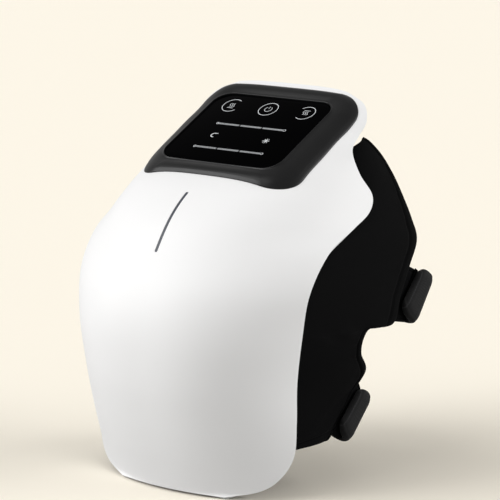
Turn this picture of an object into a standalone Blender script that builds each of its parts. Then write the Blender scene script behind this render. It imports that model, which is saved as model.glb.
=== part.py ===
# Knee massager: a white front shell with a sloping touch panel, a black inner frame, two padded wings and
# two straps that close behind the knee. +X is the wearer's right as seen from the front, +Y runs back
# towards the knee and +Z is up. The model is drawn with y = 0 at the front of the base and is moved at the
# end, so that its origin is under the middle of its box.
import math

import bmesh
import bpy
from mathutils import Matrix, Vector
from mathutils.bvhtree import BVHTree

# Driving dimensions, in metres
shell_height = 0.2076
shell_half_width = 0.0790
shell_depth = 0.1110
wall = 0.0022
gap = 0.0003
seat_gap = 0.0004
eps_merge = 0.00005

# Touch panel: a lens in a dark bezel, let into the shell's head on a plane that slopes up to the back. Its slope,
# its middle and its reach follow the head, less the white rim that stays beside and behind it.
panel_run_share = 0.6940
panel_rise_share = 0.1899
panel_middle_share = 0.6306
panel_height_share = 0.8974
head_width_share = 0.722
panel_side_rim = 0.00724
panel_back_rim = 0.00446
bezel_border = 0.0098
panel_slope = math.atan2(panel_rise_share * shell_height, panel_run_share * shell_depth)
panel_centre_y = panel_middle_share * shell_depth
panel_centre_z = panel_height_share * shell_height
lens_half_width = head_width_share * shell_half_width - panel_side_rim - bezel_border
lens_half_length = (shell_depth - panel_centre_y) / math.cos(panel_slope) - panel_back_rim - bezel_border
lens_corner = 0.0100
lens_thickness = 0.0018
lens_recess = 0.0004
bezel_corner = 0.0190
bezel_lip = 0.0006
bezel_depth = 0.0028
ledge_depth = 0.0048
bezel_ledge = 0.0022
board_thickness = 0.0016
board_inset = 0.0030

# Light bar on the front centre line, between two rows of the shell
bar_low_row = 8.02
bar_high_row = 10.02
bar_slit_row = 0.03
bar_steps = 8
bar_width = 0.0024
bar_depth = 0.0034
bar_clearance = 0.0004
led_board_width = 0.0080

# Padded wings: an outer pad, an air bag in its pocket and a liner on the knee side
wing_inset = 0.0030
wing_rear_half_width = shell_half_width - wing_inset
wing_pad = 0.0050
wing_rim = 0.0084
wing_root = 0.0036
wing_crown = 0.0016
bag_thickness = 0.0028
liner_thickness = 0.0024
root_clearance = 0.0019
wing_stations = 30
wing_columns = 12
wing_tuck_share = 0.90
wing_edge_share = 0.98
pocket_rows = (6, 25)
pocket_columns = (7, 10)
rim_column = 5
root_column = 3
edge_sink = 0.0012
liner_hem_share = 0.45
liner_slopes = 6

# Straps: each one turns on a pin at the left wing, runs behind the knee and folds round an ear of the right wing
strap_thickness = 0.0020
strap_width = 0.0300
strap_clearance = 0.0003
strap_end = 0.0046
upper_bulge = 0.0200
lower_bulge = 0.0360
ear_thickness = 0.0040
ear_margin = 0.0010
tape_thickness = 0.0007
pin_radius = 0.0020
pin_clearance = 0.0004
lug_length = 0.0038
lug_wall = 0.0016
lug_clearance = 0.0006
ear_setback = 0.0052
tape_upper_back = 0.0100
tape_lower_back = 0.0056
upper_rows = (14, 18)
lower_rows = (0, 5)
# The folds and pins lie off the wings' rear edges, at shares of the wing's half width and the shell's depth
# and height
upper_fold_shares = (0.9342, 1.1432, 0.4542)
upper_pin_shares = (-0.9342, 1.1712, 0.4624)
lower_fold_shares = (0.8816, 0.6604, 0.1806)
lower_pin_shares = (-0.8816, 0.7748, 0.1782)
wing_sizes = (wing_rear_half_width, shell_depth, shell_height)
upper_fold = [share * size for share, size in zip(upper_fold_shares, wing_sizes)]
upper_pin = [share * size for share, size in zip(upper_pin_shares, wing_sizes)]
lower_fold = [share * size for share, size in zip(lower_fold_shares, wing_sizes)]
lower_pin = [share * size for share, size in zip(lower_pin_shares, wing_sizes)]
upper_fold_tilt = math.radians(36)
upper_pin_tilt = math.radians(24)
lower_fold_tilt = math.radians(44.5)
lower_pin_tilt = math.radians(6)

# Knee cushion behind the frame
foam_thickness = 0.0080
cushion_gap = 0.0008
film_thickness = 0.0008
cover_thickness = 0.0024
cover_crown = 0.0030
cushion_rows_shares = (0.165, 0.790)
cushion_columns_shares = (0.305, 0.695)
skirt_low_share = 0.014
skirt_high_share = 0.024
skirt_side_share = 0.024
skirt_rise_share = 0.62
foam_inset_share = 0.004
cushion_row_count = 14
cushion_column_count = 14
foam_row_count = 11
foam_column_count = 10
channel_columns = (5, 9)
channel_share = 0.25
hem_share = 0.5

# Chassis and what it carries
chassis_front = 0.0270
chassis_thickness = 0.0030
chassis_bottom = 0.0190
chassis_top = 0.1240
chassis_side = 0.0055
post_x = 0.0385
chassis_half_width = post_x + chassis_side
post_low_z = 0.0260
post_high_z = 0.1180
post_radius = 0.0042
screw_radius = 0.0015
screw_hole_radius = 0.0018
screw_head_radius = 0.0028
screw_head_height = 0.0020
screw_seat = 0.0030
cell_radius = 0.0092
cell_length = 0.0650
cell_low_z = 0.0370
cell_pitch = 0.0196
motor_radius = 0.0120
motor_length = 0.0300
pump_z = 0.0830
pump_head_length = 0.0220
pump_head_width = 0.0230
shaker_radius = 0.0062
shaker_length = 0.0180
shaker_side_room = 0.0290
shaker_x = shell_half_width - shaker_side_room
shaker_low_z = 0.0440
weight_radius = 0.0052
weight_length = 0.0070
shaft_radius = 0.0010
shaft_clearance = 0.0003
base_thickness = 0.0024
base_raise = 0.0004
base_clearance = 0.0016
base_directions = 30
foot_radius = 0.0055
foot_thickness = 0.0026
foot_proud = 0.0014
base_back_share = 0.610
foot_back_room = 0.01321
foot_front = (0.0200, 0.0140)
foot_back = (0.0110, base_back_share * shell_depth - foot_back_room)
chassis_wide_side = 0.0030
chassis_wide_half_width = shaker_x + chassis_wide_side
chassis_wide_low = 0.0420
chassis_wide_high = 0.0950
cradle_depth = 0.0080
crank_radius = 0.0060
crank_thickness = 0.0030
crank_throw = 0.0034
crank_pin_radius = 0.0014
crank_pin_length = 0.0060
pump_bore_radius = 0.0090
pump_end_wall = 0.0030
shaft_depth = 0.0030
valve_x = post_x
valve_width = 0.0150
valve_depth = 0.0146
valve_low_z = 0.0720
valve_high_z = 0.0900
plunger_radius = 0.0023
plunger_head_radius = 0.0042
plunger_head_height = 0.0020
plunger_depth = 0.0120
spring_height = 0.0062
spring_radius = 0.0033
spring_wire = 0.0004
spring_turns = 3
hose_radius = 0.0016
board_half_width = 0.0310
board_low_z = 0.0970
board_high_z = 0.1220
board_lift = 0.0046
peg_x = 0.0265
peg_inset = 0.0035
standoff_radius = 0.0024
peg_radius = 0.0011
socket_half_width = 0.0046
socket_height = 0.0042
socket_depth = 0.0100
socket_mouth_half_width = 0.0037
socket_mouth_height = 0.0022
socket_mouth_depth = 0.0060

# The front shell, one row per height from the base up to the top rim. Each row gives the centre line and the
# side edge as shares of the shell's depth and height, and how square the section between them is.
# centre depth, centre height, edge width, edge depth, edge height, squareness
shell_rows_shares = (
    (0.000, 0.000, 0.455, 0.045, 0.000, 1.00),
    (-0.013, 0.019, 0.665, 0.120, 0.019, 1.05),
    (-0.040, 0.053, 0.785, 0.172, 0.053, 1.10),
    (-0.086, 0.111, 0.860, 0.215, 0.113, 1.15),
    (-0.140, 0.193, 0.882, 0.214, 0.202, 1.20),
    (-0.190, 0.299, 0.893, 0.207, 0.308, 1.25),
    (-0.207, 0.424, 0.943, 0.198, 0.429, 1.25),
    (-0.171, 0.530, 0.987, 0.214, 0.540, 1.15),
    (-0.072, 0.626, 1.000, 0.350, 0.633, 1.10),
    (0.041, 0.708, 0.980, 0.563, 0.679, 1.15),
    (0.167, 0.764, 0.960, 0.712, 0.711, 1.25),
    (0.306, 0.802, 0.925, 0.770, 0.751, 1.50),
    (0.450, 0.843, 0.842, 0.748, 0.804, 2.00),
    (0.613, 0.889, 0.766, 0.761, 0.860, 2.20),
    (0.775, 0.934, 0.734, 0.847, 0.894, 2.40),
    (0.892, 0.968, 0.722, 0.919, 0.927, 2.40),
    (0.964, 0.989, 0.646, 0.973, 0.966, 2.40),
    (1.000, 1.000, 0.481, 0.995, 0.992, 2.00),
)
last_row = len(shell_rows_shares) - 1
normal_step_share = 0.02

# The inner frame, for the same rows: its centre line, how far the side wall and the shoulder stand out from the
# centre, as shares of the edge's width and of the way back, and how deep its edge sits inside the shell.
# centre depth, centre height, side width, side way, shoulder width, shoulder way, edge depth
frame_rows_shares = (
    (0.610, 0.000, 0.86, 0.40, 0.62, 0.82, 0.35),
    (0.608, 0.019, 0.80, 0.40, 0.55, 0.84, 0.35),
    (0.595, 0.053, 0.78, 0.42, 0.54, 0.86, 0.38),
    (0.560, 0.116, 0.84, 0.46, 0.66, 0.92, 1.05),
    (0.495, 0.202, 0.90, 0.52, 0.78, 1.04, 1.00),
    (0.423, 0.308, 0.92, 0.55, 0.80, 1.14, 1.00),
    (0.396, 0.424, 0.92, 0.55, 0.80, 1.18, 1.00),
    (0.414, 0.530, 0.92, 0.55, 0.80, 1.16, 1.10),
    (0.486, 0.626, 0.90, 0.55, 0.80, 1.10, 1.42),
    (0.580, 0.690, 0.88, 0.55, 0.78, 1.00, 1.48),
    (0.668, 0.736, 0.87, 0.55, 0.76, 0.98, 1.45),
    (0.742, 0.776, 0.87, 0.55, 0.76, 0.98, 1.45),
    (0.806, 0.814, 0.88, 0.55, 0.76, 0.98, 1.25),
    (0.862, 0.852, 0.92, 0.55, 0.76, 0.98, 1.00),
    (0.908, 0.888, 0.92, 0.55, 0.74, 0.98, 0.60),
    (0.950, 0.920, 0.92, 0.55, 0.72, 0.98, 0.50),
    (0.984, 0.944, 0.92, 0.55, 0.76, 0.98, 0.50),
    (1.003, 0.968, 0.92, 0.55, 0.78, 0.98, 0.60),
)
frame_edge_share = 0.955

# The right wing's rear edge, from its lower front corner up: the shell row that each station starts from, and
# the edge's width, depth and height as shares of the wing's half width and the shell's depth and height.
wing_rows_shares = (
    (3.20, 0.908, 0.513, 0.142),
    (3.50, 0.908, 0.595, 0.190),
    (3.90, 0.915, 0.680, 0.238),
    (4.40, 0.960, 0.744, 0.291),
    (5.00, 1.000, 0.666, 0.345),
    (5.45, 1.004, 0.685, 0.385),
    (5.80, 1.004, 0.757, 0.407),
    (6.10, 1.000, 0.937, 0.405),
    (6.50, 1.000, 0.995, 0.467),
    (7.00, 1.000, 1.068, 0.540),
    (7.60, 1.000, 1.130, 0.607),
    (8.30, 0.974, 1.108, 0.665),
    (9.00, 0.921, 1.080, 0.727),
    (9.80, 0.868, 1.045, 0.785),
    (11.00, 0.816, 0.995, 0.838),
    (12.20, 0.790, 0.920, 0.877),
)

# Finishes: colour, roughness, metallic
finishes = {
    "shell_white": ((0.86, 0.86, 0.86), 0.28, 0.0),
    "bezel_grey": ((0.045, 0.047, 0.050), 0.38, 0.0),
    "lens_black": ((0.004, 0.004, 0.005), 0.08, 0.0),
    "light_smoke": ((0.16, 0.19, 0.22), 0.25, 0.0),
    "frame_black": ((0.018, 0.018, 0.020), 0.55, 0.0),
    "fabric_black": ((0.010, 0.010, 0.011), 0.90, 0.0),
    "strap_black": ((0.012, 0.012, 0.013), 0.85, 0.0),
    "tape_black": ((0.006, 0.006, 0.006), 0.95, 0.0),
    "bag_grey": ((0.25, 0.26, 0.27), 0.60, 0.0),
    "foam_grey": ((0.12, 0.12, 0.13), 0.95, 0.0),
    "film_amber": ((0.55, 0.25, 0.05), 0.40, 0.0),
    "board_green": ((0.02, 0.16, 0.06), 0.45, 0.0),
    "cell_blue": ((0.03, 0.14, 0.45), 0.40, 0.0),
    "steel": ((0.62, 0.62, 0.64), 0.30, 1.0),
    "brass": ((0.78, 0.60, 0.28), 0.30, 1.0),
    "pump_white": ((0.75, 0.75, 0.73), 0.45, 0.0),
    "hose_clear": ((0.70, 0.72, 0.72), 0.35, 0.0),
    "rubber": ((0.03, 0.03, 0.03), 0.80, 0.0),
}

for old in list(bpy.data.objects):
    bpy.data.objects.remove(old, do_unlink=True)

parts = bpy.data.collections.new("knee_massager")
cutters = bpy.data.collections.new("cutters")
for collection in (parts, cutters):
    bpy.context.scene.collection.children.link(collection)


def material(name):
    found = bpy.data.materials.get(name)
    if found:
        return found
    colour, roughness, metallic = finishes[name]
    made = bpy.data.materials.new(name)
    made.use_nodes = True
    shader = made.node_tree.nodes["Principled BSDF"]
    shader.inputs["Base Color"].default_value = (*colour, 1.0)
    shader.inputs["Roughness"].default_value = roughness
    shader.inputs["Metallic"].default_value = metallic
    made.diffuse_color = (*colour, 1.0)
    return made


def place(obj, collection):
    for held in list(obj.users_collection):
        held.objects.unlink(obj)
    collection.objects.link(obj)
    if collection is cutters:
        obj.hide_render = True
        obj.display_type = "WIRE"


def finish(obj, name, finish_name):
    obj.name = name
    obj.data.name = name
    obj.data.materials.clear()
    obj.data.materials.append(material(finish_name))
    place(obj, parts)
    obj.data.shade_smooth()
    obj.data.set_sharp_from_angle(angle=math.radians(35))
    return obj


def from_mesh(mesh, name="scratch", collection=parts):
    obj = bpy.data.objects.new(name, mesh)
    collection.objects.link(obj)
    return obj


def settle(obj):
    # Works the object's modifiers and transform into its mesh
    graph = bpy.context.evaluated_depsgraph_get()
    graph.update()
    mesh = bpy.data.meshes.new_from_object(obj.evaluated_get(graph))
    mesh.transform(obj.matrix_world)
    old = obj.data
    if obj.type == "CURVE":
        made = from_mesh(mesh, obj.name)
        bpy.data.objects.remove(obj, do_unlink=True)
        return made
    obj.modifiers.clear()
    obj.data = mesh
    obj.matrix_world = Matrix.Identity(4)
    bpy.data.meshes.remove(old)
    return obj


def weld(obj):
    mesh = bmesh.new()
    mesh.from_mesh(obj.data)
    bmesh.ops.remove_doubles(mesh, verts=mesh.verts, dist=eps_merge)
    bmesh.ops.recalc_face_normals(mesh, faces=mesh.faces)
    mesh.to_mesh(obj.data)
    mesh.free()
    return obj


def combine(obj, other, operation):
    change = obj.modifiers.new(operation.lower(), "BOOLEAN")
    change.operation = operation
    change.solver = "EXACT"
    change.object = other
    settle(obj)
    bpy.data.objects.remove(other, do_unlink=True)
    return obj


def cut(obj, other):
    return combine(obj, other, "DIFFERENCE")


def join(obj, other):
    return combine(obj, other, "UNION")


def box(size, centre, bevel=0.0, turn=None):
    bpy.ops.mesh.primitive_cube_add(size=1.0)
    obj = bpy.context.active_object
    obj.data.transform(Matrix.Diagonal((*size, 1.0)))
    if bevel:
        edge = obj.modifiers.new("edge", "BEVEL")
        edge.width = bevel
        edge.segments = 1
        edge.limit_method = "ANGLE"
    obj.matrix_world = Matrix.Translation(centre) @ (turn or Matrix.Identity(4))
    bpy.context.view_layer.update()
    return settle(obj)


def rod(radius, start, end, sides=24):
    # A cylinder between two points
    start = Vector(start)
    run = Vector(end) - start
    bpy.ops.mesh.primitive_cylinder_add(vertices=sides, radius=radius, depth=run.length)
    obj = bpy.context.active_object
    obj.matrix_world = Matrix.Translation(start + run / 2) @ run.to_track_quat("Z", "Y").to_matrix().to_4x4()
    bpy.context.view_layer.update()
    return settle(obj)


def spline_value(rows, at):
    # Reads a table of rows at a fractional row, on a smooth curve through them
    low = min(max(int(math.floor(at)), 0), len(rows) - 2)
    share = at - low
    here, ahead = rows[low], rows[low + 1]
    if low > 0:
        before = rows[low - 1]
    else:
        before = [2 * a - b for a, b in zip(here, ahead)]
    if low + 2 < len(rows):
        after = rows[low + 2]
    else:
        after = [2 * b - a for a, b in zip(here, ahead)]
    value = []
    for p, a, b, n in zip(before, here, ahead, after):
        slope = -p + b
        curve = 2 * p - 5 * a + 4 * b - n
        twist = -p + 3 * a - 3 * b + n
        value.append(0.5 * (2 * a + slope * share + curve * share ** 2 + twist * share ** 3))
    return value


def shell_point(row, across):
    # A point of the shell's outer surface: across runs from -1 at the left edge to 1 at the right edge
    deep, high, wide, edge_deep, edge_high, square = spline_value(shell_rows_shares, row)
    centre = Vector((0.0, deep * shell_depth, high * shell_height))
    edge = Vector((wide * shell_half_width, edge_deep * shell_depth, edge_high * shell_height))
    rise = math.hypot(edge.y - centre.y, edge.z - centre.z)
    angle = 2 * math.atan2(rise, edge.x)
    side = abs(across)
    x = edge.x * math.sin(side * angle) / math.sin(angle)
    share = ((1 - math.cos(side * angle)) / (1 - math.cos(angle))) ** square
    y = centre.y + (edge.y - centre.y) * share
    z = centre.z + (edge.z - centre.z) * share
    return Vector((math.copysign(x, across) if across else 0.0, y, z))


def shell_normal(row, across):
    # The outward direction of the shell's surface, from points a small step away
    step = normal_step_share
    up = shell_point(min(row + step, last_row), across) - shell_point(max(row - step, 0), across)
    side = shell_point(row, min(across + step, 1)) - shell_point(row, max(across - step, -1))
    return side.cross(up).normalized()


def grid_normals(grid):
    # The direction across each point of a grid, on the side that rows crossed with columns gives
    rows, columns = len(grid), len(grid[0])
    normals = []
    for i in range(rows):
        line = []
        for j in range(columns):
            along = grid[min(i + 1, rows - 1)][j] - grid[max(i - 1, 0)][j]
            over = grid[i][min(j + 1, columns - 1)] - grid[i][max(j - 1, 0)]
            line.append(over.cross(along).normalized())
        normals.append(line)
    return normals


def layer(grid, near, far, normals=None):
    # A closed solid between two depths under a grid. Depths are functions of the shares along rows and columns.
    rows, columns = len(grid), len(grid[0])
    normals = normals or grid_normals(grid)
    mesh = bmesh.new()
    sheets = []
    for depth in (near, far):
        sheet = []
        for i in range(rows):
            for j in range(columns):
                down = depth(i / (rows - 1), j / (columns - 1))
                sheet.append(mesh.verts.new(grid[i][j] - normals[i][j] * down))
        sheets.append(sheet)
    top, bottom = sheets

    def index(i, j):
        return i * columns + j

    for i in range(rows - 1):
        for j in range(columns - 1):
            ring = (index(i, j), index(i, j + 1), index(i + 1, j + 1), index(i + 1, j))
            for corners in (ring[:3], (ring[0], *ring[2:])):
                mesh.faces.new([top[k] for k in corners])
                mesh.faces.new([bottom[k] for k in reversed(corners)])
    border = [index(0, j) for j in range(columns)]
    border += [index(i, columns - 1) for i in range(1, rows)]
    border += [index(rows - 1, j) for j in reversed(range(columns - 1))]
    border += [index(i, 0) for i in reversed(range(1, rows - 1))]
    for here, ahead in zip(border, border[1:] + border[:1]):
        mesh.faces.new((top[ahead], top[here], bottom[here], bottom[ahead]))
    bmesh.ops.recalc_face_normals(mesh, faces=mesh.faces)
    data = bpy.data.meshes.new("layer")
    mesh.to_mesh(data)
    mesh.free()
    return from_mesh(data)


def even(depth):
    return lambda along, over: depth


def sheet(grid, thickness):
    # An open surface with a wall added on its inner side
    rows, columns = len(grid), len(grid[0])
    points = [point for line in grid for point in line]
    faces = []
    for i in range(rows - 1):
        for j in range(columns - 1):
            low = i * columns + j
            faces.append((low, low + 1, low + columns + 1, low + columns))
    data = bpy.data.meshes.new("sheet")
    data.from_pydata(points, [], faces)
    obj = from_mesh(data)
    body = obj.modifiers.new("wall", "SOLIDIFY")
    body.thickness = thickness
    body.offset = -1.0
    body.use_even_offset = False
    return settle(obj)


def surface_tree(obj):
    graph = bpy.context.evaluated_depsgraph_get()
    graph.update()
    return BVHTree.FromObject(obj, graph)


def mirrored(obj):
    # The left-hand twin of a right-hand piece
    data = obj.data.copy()
    data.transform(Matrix.Diagonal((-1.0, 1.0, 1.0, 1.0)))
    data.flip_normals()
    return from_mesh(data)


def rounded_outline(half_width, half_length, corner, steps=6):
    # A rounded rectangle, anticlockwise
    points = []
    quarters = (
        (half_width - corner, half_length - corner, 0),
        (corner - half_width, half_length - corner, 1),
        (corner - half_width, corner - half_length, 2),
        (half_width - corner, corner - half_length, 3),
    )
    for x, y, quarter in quarters:
        for step in range(steps + 1):
            angle = math.pi / 2 * (quarter + step / steps)
            points.append((x + corner * math.cos(angle), y + corner * math.sin(angle)))
    return points


def ring_solid(loops, closed_section=True):
    # A closed solid through matching loops of points: the section runs through the loops in order
    mesh = bmesh.new()
    count = len(loops[0])
    rings = [[mesh.verts.new(point) for point in loop] for loop in loops]
    pairs = list(zip(rings, rings[1:]))
    if closed_section:
        pairs.append((rings[-1], rings[0]))
    else:
        mesh.faces.new(rings[0])
        mesh.faces.new(list(reversed(rings[-1])))
    for one, two in pairs:
        for i in range(count):
            k = (i + 1) % count
            mesh.faces.new((one[i], one[k], two[k], two[i]))
    bmesh.ops.recalc_face_normals(mesh, faces=mesh.faces)
    data = bpy.data.meshes.new("ring")
    mesh.to_mesh(data)
    mesh.free()
    return from_mesh(data)


panel_matrix = Matrix.Translation((0.0, panel_centre_y, panel_centre_z)) @ Matrix.Rotation(panel_slope, 4, "X")


def on_panel(x, y, high=0.0):
    return panel_matrix @ Vector((x, y, high))


def plate(outline, low, high, matrix):
    # A flat plate with the given outline, between two heights over its own plane
    loops = [[matrix @ Vector((x, y, h)) for x, y in outline] for h in (low, high)]
    return ring_solid(loops, closed_section=False)


# Front shell: the lofted surface, its wall, and the openings for the bezel and the light bar
shell_rows = 25
shell_columns = 22
shell_grid = []
for i in range(shell_rows + 1):
    row = last_row * i / shell_rows
    shell_grid.append([shell_point(row, 2 * j / shell_columns - 1) for j in range(shell_columns + 1)])
shell = sheet(shell_grid, wall)
shell_tree = surface_tree(shell)

bezel_half_width = lens_half_width + bezel_border
bezel_half_length = lens_half_length + bezel_border
bezel_outline = rounded_outline(bezel_half_width, bezel_half_length, bezel_corner)
panel_normal = (panel_matrix.to_3x3() @ Vector((0, 0, 1))).normalized()
opening_outline = rounded_outline(bezel_half_width + gap, bezel_half_length + gap, bezel_corner)
probe = shell_half_width / 4
cut(shell, plate(opening_outline, -probe, probe, panel_matrix))


def shell_drop(x, y):
    # How far the shell's outer surface lies over the panel's plane
    hit = BVHTree.ray_cast(shell_tree, on_panel(x, y, probe), -panel_normal)
    return probe - hit[3] if hit[0] else -bezel_depth / 2


# Bezel: a ring that slopes from the lens down to the shell and holds the lens on a ledge
lens_outline = rounded_outline(lens_half_width, lens_half_length, lens_corner)
lens_hole = rounded_outline(lens_half_width + gap, lens_half_length + gap, lens_corner + gap)
ledge_hole = rounded_outline(
    lens_half_width - bezel_ledge, lens_half_length - bezel_ledge, lens_corner - bezel_ledge)
lens_under = lens_recess + lens_thickness
outer_top = [on_panel(x, y, shell_drop(x, y)) for x, y in bezel_outline]
outer_low = [on_panel(x, y, shell_drop(x, y) - bezel_depth) for x, y in bezel_outline]
crown = []
for (x, y), (u, v) in zip(bezel_outline, lens_hole):
    crown.append(on_panel((x + u) / 2, (y + v) / 2, (shell_drop(x, y) + bezel_lip) / 2 + bezel_lip))
bezel = ring_solid([
    outer_low,
    outer_top,
    crown,
    [on_panel(x, y, bezel_lip) for x, y in lens_hole],
    [on_panel(x, y, -lens_under - gap) for x, y in lens_hole],
    [on_panel(x, y, -lens_under - gap) for x, y in ledge_hole],
    [on_panel(x, y, -ledge_depth) for x, y in ledge_hole],
])
finish(bezel, "panel_bezel", "bezel_grey")
lens = plate(lens_outline, -lens_under, -lens_recess, panel_matrix)
finish(lens, "touch_lens", "lens_black")
board_outline = rounded_outline(
    lens_half_width - board_inset, lens_half_length - board_inset, lens_corner - board_inset)
board_top = -lens_under - seat_gap
touch_board = plate(board_outline, board_top - board_thickness, board_top, panel_matrix)
finish(touch_board, "touch_board", "board_green")

# Light bar: a strip let into a slit of the shell on the centre line, with its lamp board behind it
def bar_grid(low, high, half_width):
    rows = []
    for i in range(bar_steps + 1):
        centre = shell_point(low + (high - low) * i / bar_steps, 0.0)
        rows.append([centre - Vector((half_width, 0, 0)), centre, centre + Vector((half_width, 0, 0))])
    return rows


slit_grid = bar_grid(bar_low_row - bar_slit_row, bar_high_row + bar_slit_row, bar_width / 2 + gap)
cut(shell, layer(slit_grid, even(-wall), even(2 * wall)))
light_bar = layer(bar_grid(bar_low_row, bar_high_row, bar_width / 2), even(bar_clearance / 4), even(bar_depth))
finish(light_bar, "light_bar", "light_smoke")
bar_low = shell_point(bar_low_row, 0.0)
bar_run = shell_point(bar_high_row, 0.0) - bar_low
bar_middle = bar_low + bar_run / 2
bar_in = Vector((1, 0, 0)).cross(bar_run).normalized() * -1
led_centre = bar_middle + bar_in * (bar_depth + seat_gap + board_thickness / 2)
led_board = box((led_board_width, bar_run.length, board_thickness), led_centre,
                turn=Matrix.Rotation(math.atan2(bar_run.z, bar_run.y), 4, "X"))
finish(led_board, "led_board", "board_green")


# Inner frame: the moulding that closes the shell's back, concave towards the knee
def frame_edge(row):
    depth_share = spline_value(frame_rows_shares, row)[6]
    inset = wall + seat_gap + (root_clearance + wing_root) * depth_share
    edge = shell_point(row, frame_edge_share) - shell_normal(row, frame_edge_share) * inset
    edge.z = max(edge.z, 0.0)
    return edge


def frame_section(row):
    # The seven points of one section, from the right edge to the left edge
    deep, high, side_width, side_way, shoulder_width, shoulder_way, _ = spline_value(frame_rows_shares, row)
    edge = frame_edge(row)
    centre = Vector((0.0, deep * shell_depth, high * shell_height))
    half = []
    for width, way in ((1.0, 0.0), (side_width, side_way), (shoulder_width, shoulder_way)):
        rise = min(way, 1.0)
        half.append(Vector((edge.x * width, edge.y + (centre.y - edge.y) * way,
                            edge.z + (centre.z - edge.z) * rise)))
    return half + [centre] + [Vector((-p.x, p.y, p.z)) for p in reversed(half)]


def frame_patch(rows, columns):
    # Points of the frame's back at the given shares of its height and of the way across
    patch = []
    for row in rows:
        section = frame_section(last_row * row)
        patch.append([Vector(spline_value(section, (len(section) - 1) * share)) for share in columns])
    return patch


frame_rows = 20
frame_columns = 16
frame_grid = frame_patch([i / frame_rows for i in range(frame_rows + 1)],
                         [j / frame_columns for j in range(frame_columns + 1)])
frame = sheet(frame_grid, wall)

# Wings: the outer grid runs from under the shell's edge to the wing's rear edge
def wing_line(station):
    row, wide, deep, high = spline_value(wing_rows_shares, station)
    under = wall + root_clearance
    tuck = shell_point(row, wing_tuck_share) - shell_normal(row, wing_tuck_share) * under
    edge = shell_point(row, wing_edge_share) - shell_normal(row, wing_edge_share) * under
    rear = Vector((wide * wing_rear_half_width, deep * shell_depth, high * shell_height))
    swell = Vector((wing_crown, 0, 0))
    table = [tuck, edge, edge.lerp(rear, 1 / 3) + swell, edge.lerp(rear, 2 / 3) + swell, rear]
    spans = len(table) - 1
    return [Vector(spline_value(table, spans * j / wing_columns)) for j in range(wing_columns + 1)]


last_station = len(wing_rows_shares) - 1
wing_grid = [wing_line(last_station * i / wing_stations) for i in range(wing_stations + 1)]


def wing_near(along, over):
    # The pad's outer face sinks a little at its hems
    i, j = round(along * wing_stations), round(over * wing_columns)
    return edge_sink if j > root_column and (i in (0, wing_stations) or j == wing_columns) else 0.0


def wing_far(along, over):
    i, j = round(along * wing_stations), round(over * wing_columns)
    if j <= root_column:
        return wing_root
    if j < rim_column:
        return (wing_root + wing_rim) / 2
    if pocket_rows[0] <= i <= pocket_rows[1] and pocket_columns[0] <= j <= pocket_columns[1]:
        return wing_pad
    return wing_rim


wing_right = finish(layer(wing_grid, wing_near, wing_far), "wing_right", "fabric_black")
finish(mirrored(wing_right), "wing_left", "fabric_black")
wing_normals = grid_normals(wing_grid)


def window(table, rows, columns):
    # The block of a grid between two rows and two columns
    return [line[columns[0]:columns[1] + 1] for line in table[rows[0]:rows[1] + 1]]


# Air bags: each lies in its wing's pocket
bag_near = wing_pad + gap
bag = layer(window(wing_grid, pocket_rows, pocket_columns), even(bag_near), even(bag_near + bag_thickness),
            window(wing_normals, pocket_rows, pocket_columns))
finish(bag, "airbag_right", "bag_grey")
finish(mirrored(bag), "airbag_left", "bag_grey")

# Liners: the soft inner faces of the wings, thinner at their hems
liner_rows = (0, wing_stations)
liner_columns = (rim_column, wing_columns)
liner_near = wing_rim + 2 * gap


def liner_far(along, over):
    swell = min(1.0, liner_slopes * min(along, 1 - along, over, 1 - over))
    return liner_near + liner_thickness * (liner_hem_share + (1 - liner_hem_share) * math.sqrt(swell))


liner = layer(window(wing_grid, liner_rows, liner_columns), even(liner_near), liner_far,
              window(wing_normals, liner_rows, liner_columns))
finish(liner, "liner_right", "fabric_black")
finish(mirrored(liner), "liner_left", "fabric_black")


# Ears and straps. Each fold or pin has a line that leans back as it rises: along is the direction up that line,
# and back is the direction square to it that points behind the knee.
def line_axes(tilt):
    along = Vector((0, math.sin(tilt), math.cos(tilt)))
    back = Vector((0, math.cos(tilt), -math.sin(tilt)))
    return along, back


def wing_hem(x, back, first, last):
    # The wing's rear face between two rows, over the thickness of a plate at x, with clearance
    hem = []
    for i in range(first, last + 1):
        node, normal = wing_grid[i][wing_columns], wing_normals[i][wing_columns]
        reach = []
        for face in (x - ear_thickness / 2, x + ear_thickness / 2):
            down = min(max((node.x - face) / normal.x, edge_sink), wing_rim)
            reach.append(node - normal * down)
        point = max(reach, key=lambda p: p.dot(back))
        hem.append(Vector((x, point.y, point.z)) + back * (gap + ear_margin / 8))
    return hem


def ear_plate(hem, low, high, side):
    # A flat plate between the hem and the line from low to high
    middle_x = low.x
    loops = []
    for x in (middle_x - ear_thickness / 2, middle_x + ear_thickness / 2):
        loops.append([Vector((x * side, p.y, p.z)) for p in [*hem, high, low]])
    return ring_solid(loops, closed_section=False)


def right_ear(name, fold, tilt, first, last, tape_back):
    along, back = line_axes(tilt)
    fold = Vector(fold)
    half = along * (strap_width / 2 + ear_margin)
    ear = ear_plate(wing_hem(fold.x, back, first, last), fold - half, fold + half, 1)
    join(ear, rod(ear_thickness / 2, fold - half, fold + half, 16))
    finish(ear, "ear_" + name + "_right", "fabric_black")
    side = Vector((1, 0, 0))
    turn = Matrix((side, back, along)).transposed().to_4x4()
    centre = fold + side * (ear_thickness / 2 + gap + tape_thickness / 2) - back * tape_back / 2
    tape = box((tape_thickness, tape_back, strap_width), centre, turn=turn)
    finish(tape, "tape_" + name, "tape_black")


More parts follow.
